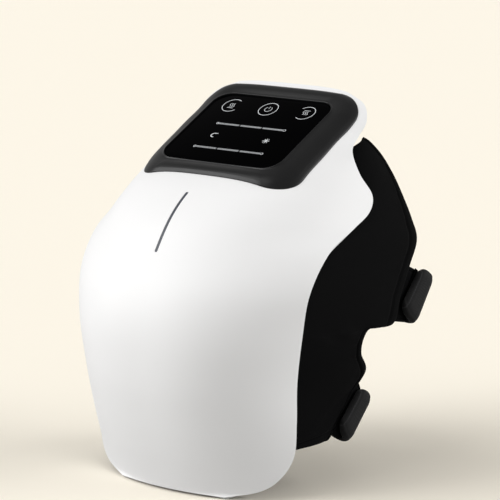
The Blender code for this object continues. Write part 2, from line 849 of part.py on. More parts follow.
def left_ear(name, pin, tilt, first, last):
    along, back = line_axes(tilt)
    pin = Vector(pin)
    side = Vector((1, 0, 0))
    turn = Matrix((side, back, along)).transposed().to_4x4()
    reach = strap_width / 2 + lug_clearance
    end = reach + lug_length
    edge = Vector((-pin.x, pin.y, pin.z)) - back * ear_setback
    ear = ear_plate(wing_hem(-pin.x, back, first, last), edge - along * end, edge + along * end, -1)
    lug_half = pin_radius + gap + lug_wall
    lug_deep = ear_setback + ear_margin + lug_half
    for sign in (-1, 1):
        centre = pin + along * sign * (reach + lug_length / 2) + back * (lug_half - lug_deep / 2)
        join(ear, box((2 * lug_half, lug_deep, lug_length), centre, turn=turn))
    cut(ear, rod(pin_radius + gap, pin - along * 2 * end, pin + along * 2 * end))
    finish(ear, "ear_" + name + "_left", "fabric_black")
    finish(rod(pin_radius, pin - along * end, pin + along * end), "pin_" + name, "steel")


right_ear("upper", upper_fold, upper_fold_tilt, *upper_rows, tape_upper_back)
right_ear("lower", lower_fold, lower_fold_tilt, *lower_rows, tape_lower_back)
left_ear("upper", upper_pin, upper_pin_tilt, *upper_rows)
left_ear("lower", lower_pin, lower_pin_tilt, *lower_rows)

fold_radius = ear_thickness / 2 + 2 * gap + tape_thickness + strap_thickness / 2
ring_radius = pin_radius + pin_clearance + strap_thickness / 2
arc_steps = 5
run_steps = 22
ring_steps = 12
ring_turn = math.radians(260)
bulge_power = 1.5
strap_edge_share = 0.35


def strap_path(fold, fold_tilt, pin, pin_tilt, bulge):
    # Centre line and width direction, from the free end at the right ear to the ring round the left pin
    side = Vector((1, 0, 0))
    fold, pin = Vector(fold), Vector(pin)
    along, back = line_axes(fold_tilt)
    path = [(fold + side * fold_radius - back * strap_end * share, along) for share in (1.0, 0.5)]
    for step in range(arc_steps + 1):
        angle = math.pi / 2 * step / arc_steps
        path.append((fold + (side * math.cos(angle) + back * math.sin(angle)) * fold_radius, along))
    pin_along, pin_back = line_axes(pin_tilt)
    start, end = path[-1][0], pin + pin_back * ring_radius
    for step in range(1, run_steps):
        share = step / run_steps
        blend = share * share * (3 - 2 * share)
        width = line_axes(fold_tilt + (pin_tilt - fold_tilt) * blend)[0]
        swing = Vector((0, bulge * math.sin(math.pi * share) ** bulge_power, 0))
        path.append((start.lerp(end, share) + swing, width))
    for step in range(ring_steps + 1):
        angle = math.pi / 2 + ring_turn * step / ring_steps
        path.append((pin + (side * math.cos(angle) + pin_back * math.sin(angle)) * ring_radius, pin_along))
    return path


def strap(name, *line):
    path = strap_path(*line)
    half, thick = strap_width / 2, strap_thickness / 2
    section = (
        (half, strap_edge_share * thick), (half - thick / 2, thick), (thick / 2 - half, thick),
        (-half, strap_edge_share * thick), (-half, -strap_edge_share * thick), (thick / 2 - half, -thick),
        (half - thick / 2, -thick), (half, -strap_edge_share * thick),
    )
    loops = []
    for i, (centre, width) in enumerate(path):
        way = path[min(i + 1, len(path) - 1)][0] - path[max(i - 1, 0)][0]
        out = way.cross(width).normalized()
        loops.append([centre + width * w + out * t for w, t in section])
    finish(ring_solid(loops, closed_section=False), "strap_" + name, "strap_black")


strap("upper", upper_fold, upper_fold_tilt, upper_pin, upper_pin_tilt, upper_bulge)
strap("lower", lower_fold, lower_fold_tilt, lower_pin, lower_pin_tilt, lower_bulge)


# Knee cushion: foam, heating film and a quilted cover, laid on the frame's back
def spread(low, high, low_step, high_step, count):
    # Shares from low to high, with two short steps at each end
    inner = [low + low_step + (high - high_step - low - low_step) * i / (count - 4) for i in range(count - 3)]
    return [low, low + low_step / 3, *inner, high - high_step / 3, high]


cover_rows = spread(*cushion_rows_shares, skirt_low_share, skirt_high_share, cushion_row_count)
cover_columns = spread(*cushion_columns_shares, skirt_side_share, skirt_side_share, cushion_column_count)
foam_low = cushion_rows_shares[0] + skirt_low_share + foam_inset_share
foam_high = cushion_rows_shares[1] - skirt_high_share - foam_inset_share
foam_rows = [foam_low + (foam_high - foam_low) * i / foam_row_count for i in range(foam_row_count + 1)]
foam_left = cushion_columns_shares[0] + skirt_side_share + foam_inset_share
foam_right = cushion_columns_shares[1] - skirt_side_share - foam_inset_share
foam_columns = [foam_left + (foam_right - foam_left) * i / foam_column_count for i in range(foam_column_count + 1)]
foam_grid = frame_patch(foam_rows, foam_columns)
finish(layer(foam_grid, even(-cushion_gap), even(-cushion_gap - foam_thickness)), "foam_pad", "foam_grey")
film_low = cushion_gap + foam_thickness + gap
finish(layer(foam_grid, even(-film_low), even(-film_low - film_thickness)), "heat_film", "film_amber")
cover_low = film_low + film_thickness + cushion_gap


def ring_of(along, over):
    # How many steps a point of the cover is in from its border
    i, j = round(along * cushion_row_count), round(over * cushion_column_count)
    return min(i, j, cushion_row_count - i, cushion_column_count - j)


def cover_near(along, over):
    ring = ring_of(along, over)
    if ring == 0:
        return -cushion_gap
    return -cover_low * (skirt_rise_share if ring == 1 else 1.0)


def cover_far(along, over):
    ring = ring_of(along, over)
    if ring == 0:
        return -cushion_gap - cover_thickness * hem_share
    if ring == 1:
        return -(cover_low + cover_thickness) * skirt_rise_share
    j = round(over * cushion_column_count)
    swell = math.sqrt(math.sin(math.pi * along) * math.sin(math.pi * over))
    if j in channel_columns:
        swell *= channel_share
    return -cover_low - cover_thickness - cover_crown * swell


cover_grid = frame_patch(cover_rows, cover_columns)
finish(layer(cover_grid, cover_near, cover_far), "knee_cover", "fabric_black")


# Posts, bosses and case screws: four screws from behind hold the frame, the chassis and the shell together
reach = shell_depth * 2
frame_tree = surface_tree(frame)
chassis_back = chassis_front + chassis_thickness
boss_end = chassis_back + gap
seat_y = boss_end + screw_seat
screw_tip = chassis_front - 2 * screw_seat - screw_head_radius
posts = [(x, z) for z in (post_low_z, post_high_z) for x in (-post_x, post_x)]


def front_of(x, z):
    # The furthest back that the shell's outer surface lies over a post's end
    rim = [(x + post_radius * i, z + post_radius * k) for i in (-1, 0, 1) for k in (-1, 0, 1)]
    return max(shell_tree.ray_cast(Vector((u, -reach, v)), Vector((0, 1, 0)))[0].y for u, v in rim)


def back_of(x, z):
    return frame_tree.ray_cast(Vector((x, reach, z)), Vector((0, -1, 0)))[0].y


back_faces = [back_of(x, z) for x, z in posts]
for (x, z), back_face in zip(posts, back_faces):
    join(shell, rod(post_radius, (x, front_of(x, z) + wall / 4, z), (x, chassis_front - gap, z), 12))
    cut(shell, rod(screw_hole_radius, (x, screw_tip - screw_radius, z), (x, chassis_front, z), 10))
    join(frame, rod(post_radius, (x, boss_end, z), (x, back_face - wall / 2, z), 12))
    cut(frame, rod(screw_hole_radius, (x, boss_end - screw_seat, z), (x, seat_y + screw_seat, z), 10))
    cut(frame, rod(screw_head_radius + seat_gap, (x, seat_y, z), (x, back_face + wall, z), 14))
for number, (x, z) in enumerate(posts, 1):
    head = seat_y + gap
    screw = rod(screw_radius, (x, screw_tip, z), (x, head + screw_head_height / 2, z), 10)
    join(screw, rod(screw_head_radius, (x, head, z), (x, head + screw_head_height, z), 12))
    finish(screw, "case_screw_" + str(number), "steel")

# Chassis: a plate with cradles for the cells and motors, and pegs for the main board
chassis_height = chassis_top - chassis_bottom
chassis_middle = chassis_front + chassis_thickness / 2
chassis = box((2 * chassis_half_width, chassis_thickness, chassis_height),
              (0, chassis_middle, chassis_bottom + chassis_height / 2), bevel=wall / 2)
wide_height = chassis_wide_high - chassis_wide_low
join(chassis, box((2 * chassis_wide_half_width, chassis_thickness - 2 * eps_merge, wide_height),
                  (0, chassis_middle, chassis_wide_low + wide_height / 2)))
cell_y = chassis_front - cell_radius - seat_gap
motor_y = chassis_front - motor_radius - seat_gap
shaker_y = chassis_front - shaker_radius - seat_gap
motor_right = -seat_gap * 5
motor_left = motor_right - motor_length
shaker_cradle_depth = shaker_radius
cradles = (
    (cell_length * 0.8, cradle_depth, cell_pitch + cell_radius, 0, cell_low_z + cell_pitch / 2),
    (motor_length * 0.6, cradle_depth, motor_radius * 1.8, motor_right - motor_length / 2, pump_z),
    (shaker_radius * 1.7, shaker_cradle_depth, shaker_length * 0.7, shaker_x, shaker_low_z + shaker_length / 2),
    (shaker_radius * 1.7, shaker_cradle_depth, shaker_length * 0.7, -shaker_x, shaker_low_z + shaker_length / 2),
)
for wide, deep, tall, x, z in cradles:
    sunk = deep + chassis_thickness / 2
    join(chassis, box((wide, sunk, tall), (x, chassis_middle - sunk / 2, z)))
cell_rows = (cell_low_z, cell_low_z + cell_pitch)
for z in cell_rows:
    cut(chassis, rod(cell_radius + seat_gap, (-cell_length, cell_y, z), (cell_length, cell_y, z), 24))
cut(chassis, rod(motor_radius + seat_gap, (motor_left - wall, motor_y, pump_z),
                 (motor_right + wall, motor_y, pump_z), 24))
shaker_high_z = shaker_low_z + shaker_length
for x in (-shaker_x, shaker_x):
    cut(chassis, rod(shaker_radius + seat_gap, (x, shaker_y, shaker_low_z - wall),
                     (x, shaker_y, shaker_high_z + wall), 20))
board_back = chassis_front - board_lift
pegs = [(x, z) for z in (board_low_z + peg_inset, board_high_z - peg_inset) for x in (-peg_x, peg_x)]
for x, z in pegs:
    join(chassis, rod(standoff_radius, (x, board_back + gap, z), (x, chassis_middle, z), 12))
    join(chassis, rod(peg_radius, (x, board_back - board_thickness - gap, z), (x, chassis_middle, z), 12))
for x, z in posts:
    cut(chassis, rod(screw_hole_radius, (x, chassis_front - wall, z), (x, chassis_back + wall, z), 10))
finish(chassis, "chassis", "pump_white")

# Cells, with their positive caps
cap_share = 0.3
for name, z in zip(("battery_cell_lower", "battery_cell_upper"), cell_rows):
    cell = rod(cell_radius, (-cell_length / 2, cell_y, z), (cell_length / 2 - gap * 4, cell_y, z), 24)
    join(cell, rod(cell_radius * cap_share, (0, cell_y, z), (cell_length / 2, cell_y, z), 16))
    finish(cell, name, "cell_blue")

# Main board on the pegs
board_height = board_high_z - board_low_z
main_board = box((2 * board_half_width, board_thickness, board_height),
                 (0, board_back - board_thickness / 2, board_low_z + board_height / 2))
for x, z in pegs:
    cut(main_board, rod(peg_radius + gap, (x, board_back - wall, z), (x, board_back + wall, z), 12))
finish(main_board, "main_board", "board_green")

# Pump: its motor, its head with an open bore, and the crank that turns in the bore
pump_motor = rod(motor_radius, (motor_left, motor_y, pump_z), (motor_right, motor_y, pump_z), 24)
join(pump_motor, rod(motor_radius / 3, (motor_left - wall, motor_y, pump_z), (0, motor_y, pump_z), 16))
cut(pump_motor, rod(motor_radius / 2, (motor_right, motor_y, pump_z), (wall, motor_y, pump_z), 16))
cut(pump_motor, rod(shaft_radius + shaft_clearance, (motor_right - shaft_depth, motor_y, pump_z),
                    (wall, motor_y, pump_z), 16))
finish(pump_motor, "pump_motor", "steel")
head_left = motor_right + seat_gap
head_right = head_left + pump_head_length
head_y = chassis_front - seat_gap - pump_head_width / 2
pump_head = box((pump_head_length, pump_head_width, pump_head_width),
                (head_left + pump_head_length / 2, head_y, pump_z), bevel=wall / 2)
cut(pump_head, rod(pump_bore_radius, (head_left - wall, motor_y, pump_z),
                   (head_right - pump_end_wall, motor_y, pump_z), 24))
finish(pump_head, "pump_head", "pump_white")
crank_left = head_left + seat_gap
crank = rod(shaft_radius, (motor_right - shaft_depth + seat_gap, motor_y, pump_z),
            (crank_left + crank_thickness / 2, motor_y, pump_z), 16)
join(crank, rod(crank_radius, (crank_left, motor_y, pump_z), (crank_left + crank_thickness, motor_y, pump_z), 24))
pin_y = motor_y + crank_throw
join(crank, rod(crank_pin_radius, (crank_left + crank_thickness / 2, pin_y, pump_z),
                (crank_left + crank_thickness + crank_pin_length, pin_y, pump_z), 12))
finish(crank, "pump_crank", "brass")

# Release valve: a body with a bore, a plunger that slides in it and a spring under the plunger's head
valve_y = chassis_front - seat_gap - valve_depth / 2
valve_height = valve_high_z - valve_low_z
valve_body = box((valve_width, valve_depth, valve_height),
                 (valve_x, valve_y, valve_low_z + valve_height / 2), bevel=wall / 2)
bore_low = valve_high_z - plunger_depth - wall
cut(valve_body, rod(plunger_radius + gap, (valve_x, valve_y, bore_low),
                    (valve_x, valve_y, valve_high_z + wall), 20))
finish(valve_body, "valve_body", "pump_white")
head_low = valve_high_z + spring_height + 2 * gap
plunger = rod(plunger_radius, (valve_x, valve_y, valve_high_z - plunger_depth + wall),
              (valve_x, valve_y, head_low + plunger_head_height / 2), 16)
join(plunger, rod(plunger_head_radius, (valve_x, valve_y, head_low),
                  (valve_x, valve_y, head_low + plunger_head_height), 20))
finish(plunger, "valve_plunger", "steel")
turn_points = 8
coil = bpy.data.curves.new("coil", "CURVE")
coil.dimensions = "3D"
coil.bevel_depth = spring_wire
coil.bevel_resolution = 1
coil.use_fill_caps = True
coil_points = spring_turns * turn_points + 1
line = coil.splines.new("POLY")
line.points.add(coil_points - 1)
coil_low = valve_high_z + gap + spring_wire
coil_high = head_low - gap - spring_wire
for i, point in enumerate(line.points):
    angle = 2 * math.pi * i / turn_points
    high = coil_low + (coil_high - coil_low) * i / (coil_points - 1)
    point.co = (valve_x + spring_radius * math.cos(angle), valve_y + spring_radius * math.sin(angle), high, 1.0)
coil_object = bpy.data.objects.new("coil", coil)
parts.objects.link(coil_object)
finish(weld(settle(coil_object)), "valve_spring", "steel")

# Air hose from the pump head to the valve
hose_start = (head_right + gap, head_y, pump_z)
hose_end = (valve_x - valve_width / 2 - gap, head_y, pump_z)
finish(rod(hose_radius, hose_start, hose_end, 12), "air_hose", "hose_clear")

# Shaker motors with their off-centre weights
for name, x in (("right", shaker_x), ("left", -shaker_x)):
    motor = rod(shaker_radius, (x, shaker_y, shaker_low_z), (x, shaker_y, shaker_high_z), 24)
    cut(motor, rod(shaft_radius + shaft_clearance, (x, shaker_y, shaker_high_z - shaft_depth),
                   (x, shaker_y, shaker_high_z + wall), 12))
    finish(motor, "shaker_" + name, "steel")
    weight_low = shaker_high_z + seat_gap
    weight = rod(weight_radius, (x, shaker_y, weight_low), (x, shaker_y, weight_low + weight_length), 24)
    cut(weight, box((2 * weight_radius + wall, weight_radius + wall, weight_length + wall),
                    (x, shaker_y + shaft_radius + (weight_radius + wall) / 2, weight_low + weight_length / 2)))
    join(weight, rod(shaft_radius, (x, shaker_y, shaker_high_z - shaft_depth + seat_gap),
                     (x, shaker_y, weight_low + weight_length / 2), 12))
    finish(weight, "weight_" + name, "brass")

# Base plate: fills the opening between the shell's and the frame's lower edges
base_middle = Vector((0, (foot_front[1] + foot_back[1]) / 2, 0))
base_outline = []
for i in range(base_directions):
    angle = 2 * math.pi * i / base_directions
    way = Vector((math.cos(angle), math.sin(angle), 0))
    reaches = []
    for z in (base_raise, base_raise + base_thickness):
        for tree in (shell_tree, frame_tree):
            hit = tree.ray_cast(base_middle + Vector((0, 0, z)), way)
            if hit[0]:
                reaches.append(hit[3])
    base_outline.append(way * (min(reaches) - base_clearance) + base_middle)
base_plate = plate([(p.x, p.y) for p in base_outline], base_raise, base_raise + base_thickness, Matrix.Identity(4))
feet = [(x, y) for x, y in (foot_front, foot_back)] + [(-x, y) for x, y in (foot_front, foot_back)]
foot_top = foot_thickness - foot_proud
for x, y in feet:
    cut(base_plate, rod(foot_radius + gap, (x, y, -wall), (x, y, foot_top + gap), 16))
finish(base_plate, "base_plate", "frame_black")
for number, (x, y) in enumerate(feet, 1):
    foot = rod(foot_radius, (x, y, -foot_proud), (x, y, foot_top), 16)
    finish(foot, "foot_" + str(number), "rubber")

# Charging socket behind a slot low in the frame's back
socket_low = base_raise + base_thickness + gap
socket_middle = socket_low + socket_height / 2
socket_back = back_of(0, socket_middle) - wall - 2 * seat_gap
socket = box((2 * socket_half_width, socket_depth, socket_height),
             (0, socket_back - socket_depth / 2, socket_middle), bevel=wall / 4)
mouth_size = (2 * socket_mouth_half_width, 2 * socket_mouth_depth, socket_mouth_height)
cut(socket, box(mouth_size, (0, socket_back, socket_middle)))
finish(socket, "charge_socket", "steel")
slot_size = (2 * socket_mouth_half_width + 2 * gap, 4 * wall, socket_mouth_height + 2 * gap)
cut(frame, box(slot_size, (0, socket_back + wall, socket_middle)))

finish(shell, "front_shell", "shell_white")
finish(frame, "inner_frame", "frame_black")


# Origins of the moving pieces go on their joint axes, and the origin of the part under the middle of its box
axis_points = {
    "strap_upper": upper_pin,
    "strap_lower": lower_pin,
    "pump_crank": (crank_left, motor_y, pump_z),
    "valve_plunger": (valve_x, valve_y, head_low),
    "valve_spring": (valve_x, valve_y, coil_low),
    "weight_right": (shaker_x, shaker_y, weight_low),
    "weight_left": (-shaker_x, shaker_y, weight_low),
}
corners = [obj.matrix_world @ Vector(corner) for obj in parts.objects for corner in obj.bound_box]
lowest = [min(p[k] for p in corners) for k in range(3)]
highest = [max(p[k] for p in corners) for k in range(3)]
shift = -Vector(((lowest[0] + highest[0]) / 2, (lowest[1] + highest[1]) / 2, lowest[2]))
for obj in parts.objects:
    point = Vector(axis_points.get(obj.name, (0, 0, 0)))
    obj.data.transform(Matrix.Translation(-point))
    obj.location = point + shift
print("shift", [round(value, 6) for value in shift])
print("size", [round(high - low, 4) for low, high in zip(lowest, highest)])
print("objects", len(parts.objects))
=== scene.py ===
import functools
import math

import bpy
from mathutils import Matrix, Vector


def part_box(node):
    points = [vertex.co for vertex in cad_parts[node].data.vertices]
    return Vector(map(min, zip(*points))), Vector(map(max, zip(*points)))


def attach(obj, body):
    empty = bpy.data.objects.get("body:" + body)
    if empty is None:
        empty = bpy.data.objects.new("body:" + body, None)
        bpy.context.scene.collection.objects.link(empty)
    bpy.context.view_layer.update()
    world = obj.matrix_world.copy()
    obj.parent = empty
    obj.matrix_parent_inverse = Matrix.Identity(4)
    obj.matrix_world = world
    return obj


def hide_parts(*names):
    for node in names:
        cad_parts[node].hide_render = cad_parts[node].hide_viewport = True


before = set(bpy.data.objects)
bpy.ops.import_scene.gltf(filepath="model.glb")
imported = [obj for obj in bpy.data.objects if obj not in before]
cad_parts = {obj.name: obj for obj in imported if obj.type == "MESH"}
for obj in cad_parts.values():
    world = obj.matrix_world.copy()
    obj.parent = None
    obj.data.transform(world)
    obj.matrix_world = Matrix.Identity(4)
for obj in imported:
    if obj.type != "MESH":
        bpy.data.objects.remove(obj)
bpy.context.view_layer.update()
mm = 0.001
sideways = Vector((1, 0, 0))

# The CAD draws from the front of the base and is then moved, so every piece here is drawn the same way
# and moved alike
footFront = 14.0 * mm - 5.5 * mm
footLow = -1.4 * mm
moved = Vector((0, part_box("foot_1")[0].y - footFront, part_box("foot_1")[0].z - footLow))


# Tables and curves shared by several pieces
def splineValue(rows, at):
    low = min(max(int(math.floor(at)), 0), len(rows) - 2)
    share = at - low
    here, ahead = rows[low], rows[low + 1]
    before = rows[low - 1] if low > 0 else [2 * a - b for a, b in zip(here, ahead)]
    after = rows[low + 2] if low + 2 < len(rows) else [2 * b - a for a, b in zip(here, ahead)]
    value = []
    for p, a, b, n in zip(before, here, ahead, after):
        curve = 2 * p - 5 * a + 4 * b - n
        twist = -p + 3 * a - 3 * b + n
        value.append(0.5 * (2 * a + (b - p) * share + curve * share ** 2 + twist * share ** 3))
    return value


def smooth(low, high, value):
    share = min(max((value - low) / (high - low), 0.0), 1.0)
    return share * share * (3 - 2 * share)


def eased(share):  # packs more faces towards both ends
    return 0.5 - 0.5 * math.cos(math.pi * share)


def ridge(distance, width):  # 1 at no distance, and falling off like a bell
    return math.exp(-(distance / width) ** 2)


def plateau(value, start, full, ebb, end):
    return smooth(start, full, value) * (1 - smooth(ebb, end, value))


shellShape = {
    "height": 207.6 * mm,
    "halfWidth": 79.0 * mm,
    "depth": 111.0 * mm,
    "wall": 2.2 * mm,
    "rimRadius": 0.6 * mm,
    # centre depth, centre height, edge width, edge depth, edge height, squareness, from the base up
    "rows": (
        (0.000, 0.000, 0.455, 0.045, 0.000, 1.00),
        (-0.013, 0.019, 0.665, 0.120, 0.019, 1.05),
        (-0.040, 0.053, 0.785, 0.172, 0.053, 1.10),
        (-0.086, 0.111, 0.860, 0.215, 0.113, 1.15),
        (-0.140, 0.193, 0.882, 0.214, 0.202, 1.20),
        (-0.190, 0.299, 0.893, 0.207, 0.308, 1.25),
        (-0.207, 0.424, 0.943, 0.198, 0.429, 1.25),
        (-0.171, 0.530, 0.987, 0.214, 0.540, 1.15),
        (-0.072, 0.626, 1.000, 0.350, 0.633, 1.10),
        (0.041, 0.708, 0.980, 0.563, 0.679, 1.15),
        (0.167, 0.764, 0.960, 0.712, 0.711, 1.25),
        (0.306, 0.802, 0.925, 0.770, 0.751, 1.50),
        (0.450, 0.843, 0.842, 0.748, 0.804, 2.00),
        (0.613, 0.889, 0.766, 0.761, 0.860, 2.20),
        (0.775, 0.934, 0.734, 0.847, 0.894, 2.40),
        (0.892, 0.968, 0.722, 0.919, 0.927, 2.40),
        (0.964, 0.989, 0.646, 0.973, 0.966, 2.40),
        (1.000, 1.000, 0.481, 0.995, 0.992, 2.00),
    ),
}
topRow = len(shellShape["rows"]) - 1


@functools.lru_cache(maxsize=None)
def shellPoint(row, across):
    deep, high, wide, edgeDeep, edgeHigh, square = splineValue(shellShape["rows"], row)
    depth, height = shellShape["depth"], shellShape["height"]
    centre = Vector((0, deep * depth, high * height))
    edge = Vector((wide * shellShape["halfWidth"], edgeDeep * depth, edgeHigh * height))
    angle = 2 * math.atan2(math.hypot(edge.y - centre.y, edge.z - centre.z), edge.x)
    side = abs(across)
    share = ((1 - math.cos(side * angle)) / (1 - math.cos(angle))) ** square
    x = edge.x * math.sin(side * angle) / math.sin(angle)
    return Vector((math.copysign(x, across) if across else 0, centre.y + (edge.y - centre.y) * share,
                   centre.z + (edge.z - centre.z) * share))


def shellNormal(row, across):
    step = 0.02
    up = shellPoint(min(row + step, topRow), across) - shellPoint(max(row - step, 0), across)
    side = shellPoint(row, min(across + step, 1)) - shellPoint(row, max(across - step, -1))
    return side.cross(up).normalized()


# Modelling helpers
def startFrom(adder, name, **settings):
    # A new primitive, with nothing else selected
    bpy.ops.object.select_all(action="DESELECT")
    adder(**settings)
    piece = bpy.context.active_object
    piece.name = piece.data.name = name
    return piece


def choose(piece):
    bpy.ops.object.select_all(action="DESELECT")
    piece.select_set(True)
    bpy.context.view_layer.objects.active = piece


def gridPiece(name, acrossSteps, upSteps, pointAt):
    # A grid primitive whose points are pulled onto a surface: pointAt takes two shares from 0 to 1
    piece = startFrom(bpy.ops.mesh.primitive_grid_add, name, x_subdivisions=acrossSteps,
                      y_subdivisions=upSteps, size=1)
    for vertex in piece.data.vertices:
        vertex.co = pointAt(min(max(vertex.co.x + 0.5, 0), 1), min(max(vertex.co.y + 0.5, 0), 1))
    return piece


def editAll(piece):
    choose(piece)
    bpy.ops.object.mode_set(mode="EDIT")
    bpy.ops.mesh.select_all(action="SELECT")


def turnOutwards():
    # Leaves edit mode with the selected faces pointing out
    bpy.ops.mesh.normals_make_consistent(inside=False)
    bpy.ops.object.mode_set(mode="OBJECT")


samePlace, noLength = 0.01 * mm, 0.002 * mm


def closeSeams(piece):
    editAll(piece)
    bpy.ops.mesh.remove_doubles(threshold=samePlace)
    bpy.ops.mesh.dissolve_degenerate(threshold=noLength)
    turnOutwards()


def applyModifier(piece, kind, **values):
    modifier = piece.modifiers.new(kind.lower(), kind)
    for key, value in values.items():
        setattr(modifier, key, value)
    choose(piece)
    bpy.ops.object.modifier_apply(modifier=modifier.name)


def bevelEdges(piece, width, segments, sharpest):
    applyModifier(piece, "BEVEL", width=width, segments=segments, limit_method="ANGLE",
                  angle_limit=math.radians(sharpest))


def joinWith(piece, other, operation="UNION"):
    applyModifier(piece, "BOOLEAN", operation=operation, solver="EXACT", object=other)
    bpy.data.objects.remove(other, do_unlink=True)


def cutWith(piece, cutter):
    joinWith(piece, cutter, "DIFFERENCE")


def roundedPlate(name, halfWidth, halfLength, corner, low, high, matrix, rim=0.0):
    # A cube primitive shaped to a plate, with its four standing edges bevelled round
    piece = startFrom(bpy.ops.mesh.primitive_cube_add, name, size=1)
    size = Matrix.Diagonal((2 * halfWidth, 2 * halfLength, high - low, 1))
    piece.data.transform(Matrix.Translation((0, 0, (low + high) / 2)) @ size)
    bpy.ops.object.mode_set(mode="EDIT")
    bpy.ops.mesh.select_mode(type="EDGE")
    bpy.ops.mesh.select_all(action="DESELECT")
    bpy.ops.object.mode_set(mode="OBJECT")
    for edge in piece.data.edges:
        one, two = (piece.data.vertices[i].co for i in edge.vertices)
        edge.select = abs(one.z - two.z) > abs(high - low) / 2
    bpy.ops.object.mode_set(mode="EDIT")
    bpy.ops.mesh.bevel(offset=corner, segments=16)
    bpy.ops.mesh.select_mode(type="VERT")
    bpy.ops.object.mode_set(mode="OBJECT")
    if rim:
        bevelEdges(piece, rim, 3, 60)
    piece.data.transform(matrix)
    return piece


def dress(piece, material, slot, body="housing", replaced=(), smoothAngle=40):
    # Moves a finished piece to its place in the CAD's frame, and gives it its finish and its body
    piece.data.transform(Matrix.Translation(moved))
    piece.data.materials.clear()
    piece.data.materials.append(material)
    choose(piece)
    bpy.ops.object.shade_smooth_by_angle(angle=math.radians(smoothAngle))
    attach(piece, body)
    if replaced:
        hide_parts(*replaced)
    return piece


def mirrorPiece(piece, name):
    # The left-hand twin, with its own mesh
    twin = piece.copy()
    twin.data = piece.data.copy()
    twin.name = twin.data.name = name
    bpy.context.scene.collection.objects.link(twin)
    twin.data.transform(Matrix.Diagonal((-1, 1, 1, 1)))
    closeSeams(twin)
    return twin


def rollShare(distance, radius):
    # How full a padded edge is at a distance in from its seam
    share = min(max(distance / radius, 0.0), 1.0)
    return math.sqrt(max(1 - (1 - share) ** 2, 0.0))


def bothSides(u, v):
    # A closed pad's grid runs over its near side and back over its far side
    near = v < 0.5
    return eased(u), eased(2 * v) if near else eased(2 - 2 * v), near


def edgeDistances(along, over, spans):
    return along * spans[0], (1 - along) * spans[0], over * spans[1], (1 - over) * spans[1]


def pillow(name, shape, surfaceAt, nearAt, farAt):
    # A closed pad between two depths under a surface. Its far side follows its near side back, and all round
    # its edge the two roll together over the roll radius, to a seam that lies at a share of the thickness.
    # Spans are its real sizes along and over.
    def pointAt(u, v):
        along, over, front = bothSides(u, v)
        point, normal = surfaceAt(along, over)
        near, far = nearAt(along, over), farAt(along, over)
        full = 1.0
        for distance in edgeDistances(along, over, shape["spans"]):
            full *= rollShare(distance, shape["roll"])
        middle = near + (far - near) * shape.get("seam", 0.5)
        return point - normal * (middle + ((near if front else far) - middle) * full)

    piece = gridPiece(name, shape["steps"][0], shape["steps"][1] * 2, pointAt)
    closeSeams(piece)
    return piece


# Materials
def newMaterial(name, colour, roughness, metallic=0.0, **sockets):
    material = bpy.data.materials.new(name)
    material.use_nodes = True
    shader = material.node_tree.nodes["Principled BSDF"]
    shader.inputs["Base Color"].default_value = (*colour, 1)
    shader.inputs["Roughness"].default_value = roughness
    shader.inputs["Metallic"].default_value = metallic
    for key, value in sockets.items():
        shader.inputs[key.replace("_", " ")].default_value = value
    return material


class Maker:
    # Adds nodes to a material and links them by name
    def __init__(self, material):
        self.nodes = material.node_tree.nodes
        self.links = material.node_tree.links
        self.shader = self.nodes["Principled BSDF"]
        self.where = self.nodes.new("ShaderNodeTexCoord")

    def add(self, kind, inputs=None, **settings):
        node = self.nodes.new("ShaderNode" + kind)
        for key, value in settings.items():
            setattr(node, key, value)
        for key, value in (inputs or {}).items():
            if isinstance(value, bpy.types.NodeSocket):
                self.links.new(value, node.inputs[key])
            else:
                node.inputs[key].default_value = value
        return node

    def noise(self, scale, detail=4.0, source=None, roughness=0.5):
        return self.add("TexNoise", {"Vector": source or self.where.outputs["Object"], "Scale": scale,
                                     "Detail": detail, "Roughness": roughness}).outputs["Fac"]

    def band(self, value, low, high):
        return self.add("MapRange", {"Value": value, "To Min": low, "To Max": high}).outputs["Result"]

    def maths(self, operation, one, two=0.0):
        return self.add("Math", {0: one, 1: two}, operation=operation).outputs[0]

    def colours(self, factor, one, two):
        mix = self.add("MixRGB", {"Fac": factor, "Color1": (*one, 1), "Color2": (*two, 1)})
        self.links.new(mix.outputs[0], self.shader.inputs["Base Color"])
        return mix.outputs[0]

    def rough(self, value):
        self.links.new(value, self.shader.inputs["Roughness"])

    def bump(self, height, strength, distance):
        node = self.add("Bump", {"Height": height, "Strength": strength, "Distance": distance})
        self.links.new(node.outputs[0], self.shader.inputs["Normal"])


def mouldedPlastic(name, colour, colourTwo, roughness, drift, grainScale, grain, grainDepth, sockets=None):
    # Plastic with a slightly uneven gloss, a soft colour drift and a fine moulded grain
    material = newMaterial(name, colour, roughness, 0, **(sockets or {}))
    make = Maker(material)
    make.colours(make.noise(drift, 2), colour, colourTwo)
    make.rough(make.band(make.noise(drift * 4, 5), roughness * 0.88, roughness * 1.15))
    make.bump(make.noise(grainScale, 3), grain, grainDepth)
    return material


